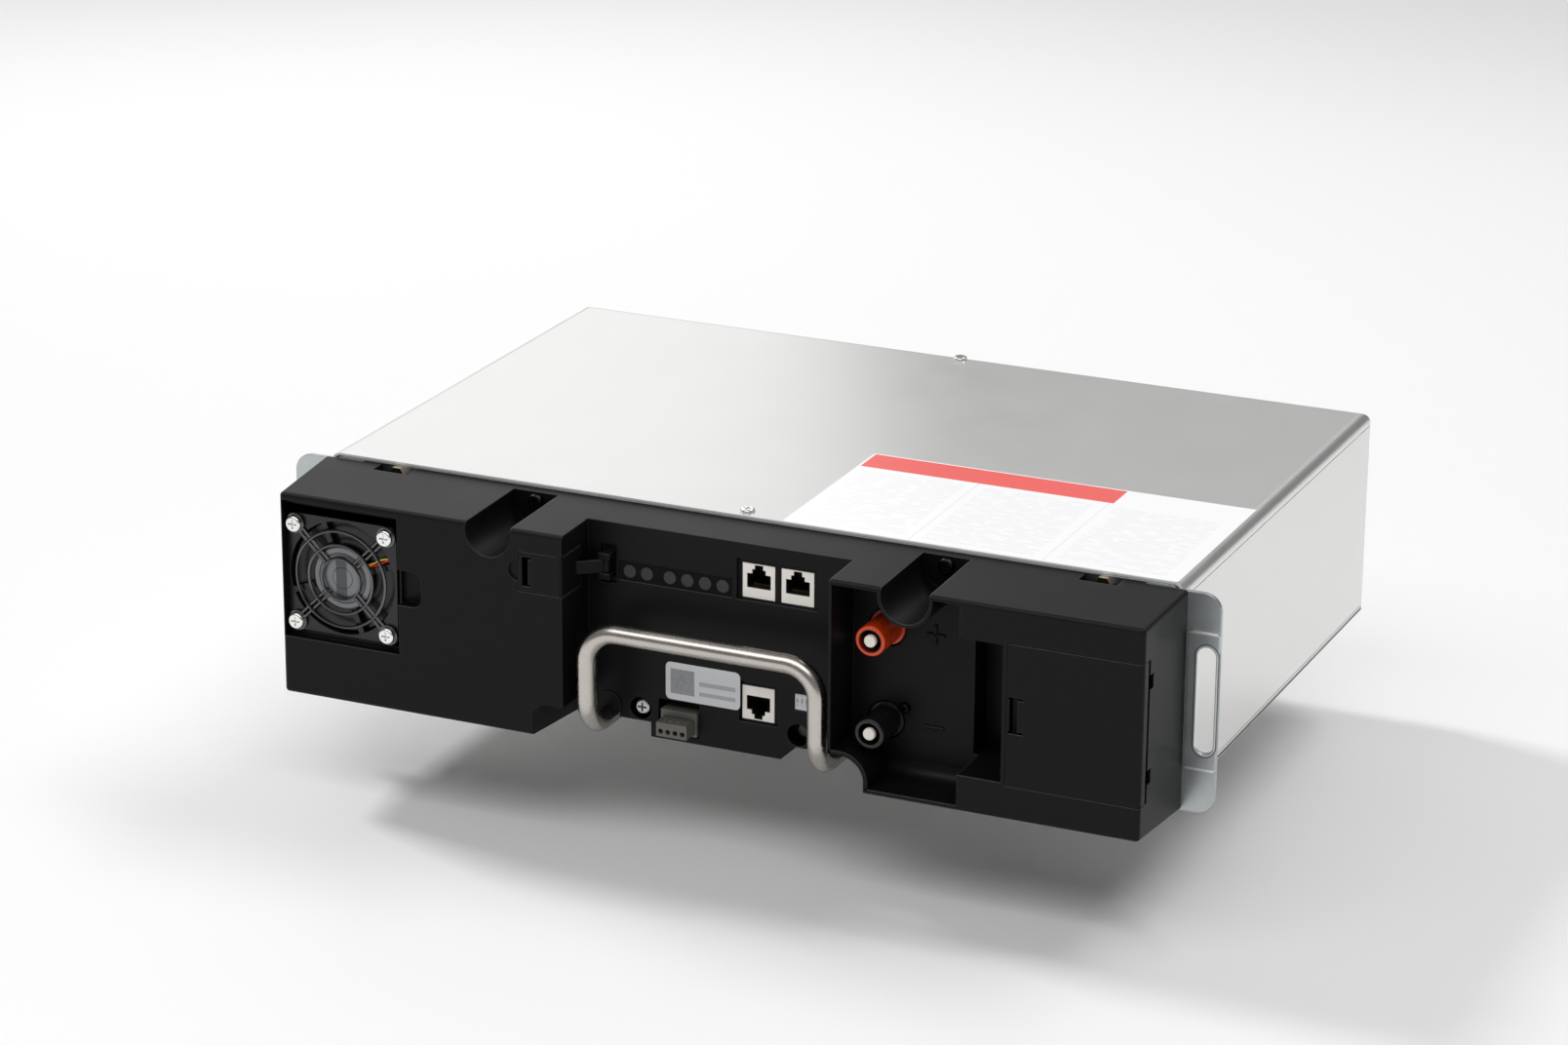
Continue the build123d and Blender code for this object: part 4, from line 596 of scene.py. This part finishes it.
# %% Collars round the bar's feet
for name, centre_x, wide in (("left_foot_collar", bar_left, 13.0), ("right_foot_collar", bar_right - 1.6 * MM, 15.6)):
    collar = round_plate(wide * MM, 13.0 * MM, 0.8 * MM, 5.8 * MM)
    stand_on_front(collar, centre_x, panel_face, grip_low.z + 5.6 * MM)
    add_piece(name, collar, cover_black)

# %% [markdown]
# The terminal recess keeps a curved wall round the room for the handle's right leg. It is a strip of the same
# moulding, as thick as the cover's walls, that runs along the recess and turns down to its floor.

# %% Curved wall beside the terminal recess
WALL = 2.0 * MM
panel_y = terminal_face
cover_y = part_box("front_cover")[0].y
strip = bmesh.new()
bmesh.ops.create_grid(strip, x_segments=1, y_segments=1, size=0.5)
bmesh.ops.scale(strip, vec=(WALL, panel_y - cover_y, 1), verts=strip.verts)
start = Matrix.Translation((70.4 * MM, (panel_y + cover_y) / 2, 20.2 * MM))
edge_on = start @ Matrix.Rotation(math.radians(90), 4, "Y")
bmesh.ops.transform(strip, matrix=edge_on, verts=strip.verts)
push(strip, (6.1 * MM, 0, 0))
bend(strip, (76.5 * MM, panel_y, 7.2 * MM), (0, 1, 0), 1, steps=12)
push(strip, (0, 0, -4.6 * MM))
close_rim(strip)
add_piece("leg_wall", strip, cover_black)

# %% [markdown]
# Each rack ear is pressed forward round its slot, which stiffens it. The pressed field is a plate with the slot
# left open: two outlines, bridged into one ring and then thickened.

# %% Pressed fields of the ears
def outline_loop(mesh, wide, high, corner, x, z):
    before = set(mesh.verts)
    bmesh.ops.create_grid(mesh, x_segments=1, y_segments=1, size=0.5)
    verts = [vert for vert in mesh.verts if vert not in before]
    bmesh.ops.scale(mesh, vec=(wide, high, 1), verts=verts)
    bmesh.ops.translate(mesh, vec=(x, z, 0), verts=verts)
    bmesh.ops.bevel(mesh, geom=verts, offset=corner, segments=8, profile=0.5, affect="VERTICES", material=-1)


SLOT_STRAIGHT = 21.9
FIELD_RIM = 32.8


def zinc_with_painted_rims(name, slot_x, slot_z):
    """Zinc with a painted highlight on the rim of the slot and on the top and bottom rims of the field, and a dark
    line just outside the slot's rim.
    """
    finish = Finish(name, (0.50, 0.53, 0.535), 0.32, 1.0)
    x = finish.start.maths("ABSOLUTE", finish.x - slot_x)
    z = finish.start.maths("ABSOLUTE", finish.z - slot_z)
    past = finish.start.maths("MAXIMUM", z - SLOT_STRAIGHT, 0.0)
    reach = finish.start.maths("SQRT", x * x + past * past)
    # bright marks the painted highlight on the slot's rim and on the field's top and bottom rims.
    bright = (reach < 5.4) + (finish.start.maths("ABSOLUTE", finish.z - slot_z + 0.6) > FIELD_RIM)
    dark = reach.between(5.4, 6.0)
    clouds = finish.grain(7.0, 4.0)
    plain = finish.mix(clouds, (0.44, 0.47, 0.475, 1), (0.56, 0.59, 0.595, 1))
    rim_highlighted = finish.mix(finish.start.maths("MINIMUM", bright, 1.0), plain, (0.92, 0.93, 0.93, 1))
    finish.feed("Base Color", finish.mix(dark, rim_highlighted, (0.16, 0.17, 0.175, 1)))
    finish.vary_roughness(clouds, 0.07)
    finish.relief(finish.grain(0.5, 2.0), 0.004, 0.8)
    return finish.material


def pressed_field(side):
    ear_low, ear_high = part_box("right_rack_ear")
    slot_x, slot_z = ear_high.x - 6.4 * MM, (ear_low.z + ear_high.z) / 2 + 2.2 * MM
    ring = bmesh.new()
    outline_loop(ring, 15.2 * MM, 68 * MM, 1.6 * MM, ear_high.x - 8.3 * MM, slot_z - 0.6 * MM)
    outline_loop(ring, 8.8 * MM, 52.6 * MM, 4.3 * MM, slot_x, slot_z)
    bmesh.ops.delete(ring, geom=ring.faces[:], context="FACES_ONLY")
    bmesh.ops.bridge_loops(ring, edges=ring.edges[:])
    grown = bmesh.ops.extrude_face_region(ring, geom=ring.faces[:])
    raised = [part for part in grown["geom"] if isinstance(part, bmesh.types.BMVert)]
    bmesh.ops.translate(ring, vec=(0, 0, 1.6 * MM), verts=raised)
    stand_on_front(ring, 0, ear_low.y + 0.9 * MM, 0)
    if side < 0:
        bmesh.ops.scale(ring, vec=(-1, 1, 1), verts=ring.verts)
    name = "right_ear_field" if side > 0 else "left_ear_field"
    add_piece(name, ring, zinc_with_painted_rims(name + "_zinc", side * slot_x / MM, slot_z / MM))


pressed_field(1)
pressed_field(-1)

# %% [markdown]
# Two captive screws hold the cover's lower edge. The left one stands tall enough to show beside the handle, and the
# right one sits deep in its well. Each is a spun profile, and its cross recess is drawn and dented by the finish.
# The finish paints shade as well: each cross recess is dark, and the whole right screw is dark with the shade of its
# well.

# %% Captive screws
screw_low, screw_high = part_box("flange_screws")
screw_z = (screw_low.z + screw_high.z) / 2
screw_places = ((screw_low.x + 4.0 * MM, panel_face + 1.6 * MM), (screw_high.x - 4.0 * MM, screw_low.y))


def crossed_head():
    finish = Finish("captive_screw_plate", (0.50, 0.50, 0.49), 0.30, 1.0)
    z = finish.z - screw_z / MM
    cross = 0.0
    for place, _ in screw_places:
        x = finish.x - place / MM
        cross = x.between(-0.5, 0.5) * z.between(-2.3, 2.3) + x.between(-2.3, 2.3) * z.between(-0.5, 0.5) + cross
    cross = finish.start.maths("MINIMUM", cross, 1.0)
    in_shade = finish.x > 0.0
    # Painted shade: the cross recesses and the right screw in its well are coloured dark.
    painted_shade = finish.start.maths("MAXIMUM", cross, in_shade)
    finish.feed("Base Color", finish.mix(painted_shade, (0.50, 0.50, 0.49, 1), (0.05, 0.05, 0.05, 1)))
    finish.vary_roughness(finish.grain(3.0), 0.08)
    finish.relief(cross * -1.0 + finish.grain(0.6) * 0.02, 0.5, 0.2)
    return finish.material


screws = bmesh.new()
# Where the neck has no length its two corners fall together, and the edge between them is left out.
for place, head_face in screw_places:
    depth = screw_high.y - head_face
    floor_depth = max(2.4 * MM, screw_low.y + 2.4 * MM - head_face)
    neck, tip = floor_depth / MM, depth / MM
    steps = (
        (0, 0), (3.0, 0), (3.7, 0.35), (4.0, 1.0), (4.0, 2.4), (2.9, 2.4), (2.9, neck), (2.0, neck), (2.0, tip),
        (0, tip),
    )
    verts = [screws.verts.new((place + radius * MM, head_face + along * MM, screw_z)) for radius, along in steps]
    edges = [screws.edges.new(pair) for pair in zip(verts, verts[1:]) if pair[0].co != pair[1].co]
    bmesh.ops.spin(
        screws, geom=verts + edges, cent=(place, 0, screw_z), axis=(0, 1, 0), dvec=(0, 0, 0), angle=2 * math.pi,
        steps=36, use_merge=True,
    )
bmesh.ops.remove_doubles(screws, verts=screws.verts, dist=0.001 * MM)
captive = add_piece("captive_screws", screws, crossed_head())
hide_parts("flange_screws")

# %% [markdown]
# ## The fan's hub
# The hub carries a round foil disc, and two thin leads run along a strut to the frame. A full spin of a short
# profile makes the disc with a rolled edge, which a flat circle would lack.

# %% Hub disc
def hub_foil():
    finish = Finish("hub_foil", (0.20, 0.205, 0.21), 0.34, 0.6)
    x, z = finish.x - fan_centre.x / MM, finish.z - fan_centre.z / MM
    radius = finish.start.maths("SQRT", x * x + z * z)
    ring = radius.between(12.2, 13.0) + radius.between(5.2, 5.6)
    stripe = x.between(-3.6, 2.4) * (radius < 11.0)
    tone = finish.mix(ring * 0.8 + stripe * 0.65, (0.20, 0.205, 0.21, 1), (0.02, 0.02, 0.022, 1))
    finish.feed("Base Color", tone)
    finish.vary_roughness(finish.grain(5.0), 0.06)
    finish.relief(finish.grain(3.0), 0.01)
    return finish.material


disc = bmesh.new()
rim_steps = ((15.4, 0), (15.4, 0.10), (15.0, 0.16), (0, 0.16))
profile = [disc.verts.new((radius * MM, 0, high * MM)) for radius, high in rim_steps]
spine = [disc.edges.new(pair) for pair in zip(profile, profile[1:])]
bmesh.ops.spin(
    disc, geom=profile + spine, cent=(0, 0, 0), axis=(0, 0, 1), dvec=(0, 0, 0), angle=2 * math.pi, steps=64,
    use_merge=True,
)
bmesh.ops.remove_doubles(disc, verts=disc.verts, dist=0.001 * MM)
bmesh.ops.holes_fill(disc, edges=disc.edges)
stand_on_front(disc, fan_centre.x, hub_face, fan_centre.z)
add_piece("hub_disc", disc, hub_foil())

# %% Fan leads
lead_angle = math.radians(20)
along = Vector((math.cos(lead_angle), 0, math.sin(lead_angle)))
aside = Vector((-math.sin(lead_angle), 0, math.cos(lead_angle)))


def lead(name, colour, shift):
    """A round lead of 1 mm beside the strut, from under the hub's plate into the frame."""
    finish = Finish(name + "_sheath", colour, 0.38)
    finish.vary_colour(finish.grain(4.0), 0.08)
    finish.relief(finish.grain(1.2), 0.01)
    tube = bmesh.new()
    bmesh.ops.create_cone(tube, cap_ends=True, segments=12, radius1=0.5 * MM, radius2=0.5 * MM, depth=15 * MM)
    lengthwise = [edge for edge in tube.edges if abs(edge.verts[0].co.z - edge.verts[1].co.z) > 1 * MM]
    bmesh.ops.subdivide_edges(tube, edges=lengthwise, cuts=6)
    for vert in tube.verts:
        vert.co.x += 0.5 * MM * math.sin(vert.co.z / MM * 0.42 + shift)
    turn = Vector((0, 0, 1)).rotation_difference(along).to_matrix().to_4x4()
    place = Matrix.Translation(
        Vector((fan_centre.x, hub_face + 0.9 * MM, fan_centre.z)) + along * 22.5 * MM + aside * shift * MM
    )
    bmesh.ops.transform(tube, matrix=place @ turn, verts=tube.verts)
    return add_piece(name, tube, finish.material)


lead("red_fan_lead", (0.62, 0.02, 0.015), 2.6)
lead("yellow_fan_lead", (0.75, 0.52, 0.03), 3.8)

# %% [markdown]
# ## Floor and light
# The module hovers a few centimetres over a wide pale floor, so its shadow lies apart from it.
# Two softboxes stand low behind it and draw the glow on the steel top, bright at the left and dimmer at the right.
# The overhead light throws the dark part of the shadow forward, and a far key light at the left throws a long pale
# part to the right. A wash keeps the near floor white, and the dim world fills what is left.

# %% Floor
FLOOR_Z = -0.052
floor_finish = Finish("pale_floor", (0.86, 0.86, 0.86), 0.75, Specular_IOR_Level=0.2)
floor_finish.vary_colour(floor_finish.grain(900.0, 2.0), 0.01)
floor_finish.vary_roughness(floor_finish.grain(400.0, 2.0), 0.03)
floor_mesh = bmesh.new()
bmesh.ops.create_grid(floor_mesh, x_segments=4, y_segments=4, size=9.0)
bmesh.ops.translate(floor_mesh, vec=(0, 3.0, FLOOR_Z), verts=floor_mesh.verts)
floor_data = bpy.data.meshes.new("floor")
floor_mesh.to_mesh(floor_data)
floor_mesh.free()
floor_data.materials.append(floor_finish.material)
floor = bpy.data.objects.new("floor", floor_data)
bpy.context.collection.objects.link(floor)
print("floor at", FLOOR_Z)

# %% Lights
def soft_light(name, place, aim, size, power, colour=(1, 1, 1)):
    data = bpy.data.lights.new(name, "AREA")
    data.shape = "RECTANGLE"
    data.size, data.size_y = size
    data.energy = power
    data.color = colour
    lamp = bpy.data.objects.new(name, data)
    lamp.location = place
    lamp.rotation_mode = "QUATERNION"
    lamp.rotation_quaternion = (Vector(aim) - Vector(place)).to_track_quat("-Z", "Y")
    bpy.context.collection.objects.link(lamp)
    return lamp


soft_light("back_left_softbox", (-0.96, 1.15, 0.75), (-0.05, 0.0, 0.05), (0.95, 0.9), 2.8)
soft_light("back_right_softbox", (-0.05, 1.3, 0.72), (0.0, 0.0, 0.1), (0.8, 0.7), 0.6)
soft_light("overhead", (0.85, 0.95, 2.1), (0.05, -0.1, 0.0), (1.8, 0.5), 20.0)
soft_light("left_key", (-4.4, 1.0, 4.2), (0.2, -0.4, 0.0), (1.0, 1.0), 172.0)
soft_light("near_floor_wash", (0.1, -1.5, 1.9), (0.1, -1.1, 0.0), (3.2, 1.4), 31.0)

world = bpy.data.worlds.new("studio")
world.use_nodes = True
world.node_tree.nodes["Background"].inputs["Color"].default_value = (1.0, 1.0, 1.0, 1)
world.node_tree.nodes["Background"].inputs["Strength"].default_value = 0.22
bpy.context.scene.world = world
bpy.context.scene.view_settings.view_transform = "Standard"

# %% [markdown]
# ## Camera
# A long lens from the front right, a little above the module, so that its upright edges stay nearly parallel.

# %% Camera
azimuth, elevation, roll = math.radians(24.174), math.radians(19.403), math.radians(-0.341)
right = Vector((math.cos(azimuth), math.sin(azimuth), 0))
back = Vector((
    math.sin(azimuth) * math.cos(elevation), -math.cos(azimuth) * math.cos(elevation), math.sin(elevation)
))
up = back.cross(right)
level = Matrix((right, up, back)).transposed()
camera_data = bpy.data.cameras.new("camera")
camera_data.lens = 106.88
camera_data.sensor_width = 36.0
camera_data.clip_end = 100.0
camera = bpy.data.objects.new("camera", camera_data)
turned = level @ Matrix.Rotation(-roll, 3, "Z")
camera.matrix_world = Matrix.Translation((0.8709, -2.03055, 0.8375)) @ turned.to_4x4()
bpy.context.collection.objects.link(camera)
bpy.context.scene.camera = camera
print("camera at", [round(value, 3) for value in camera.location])
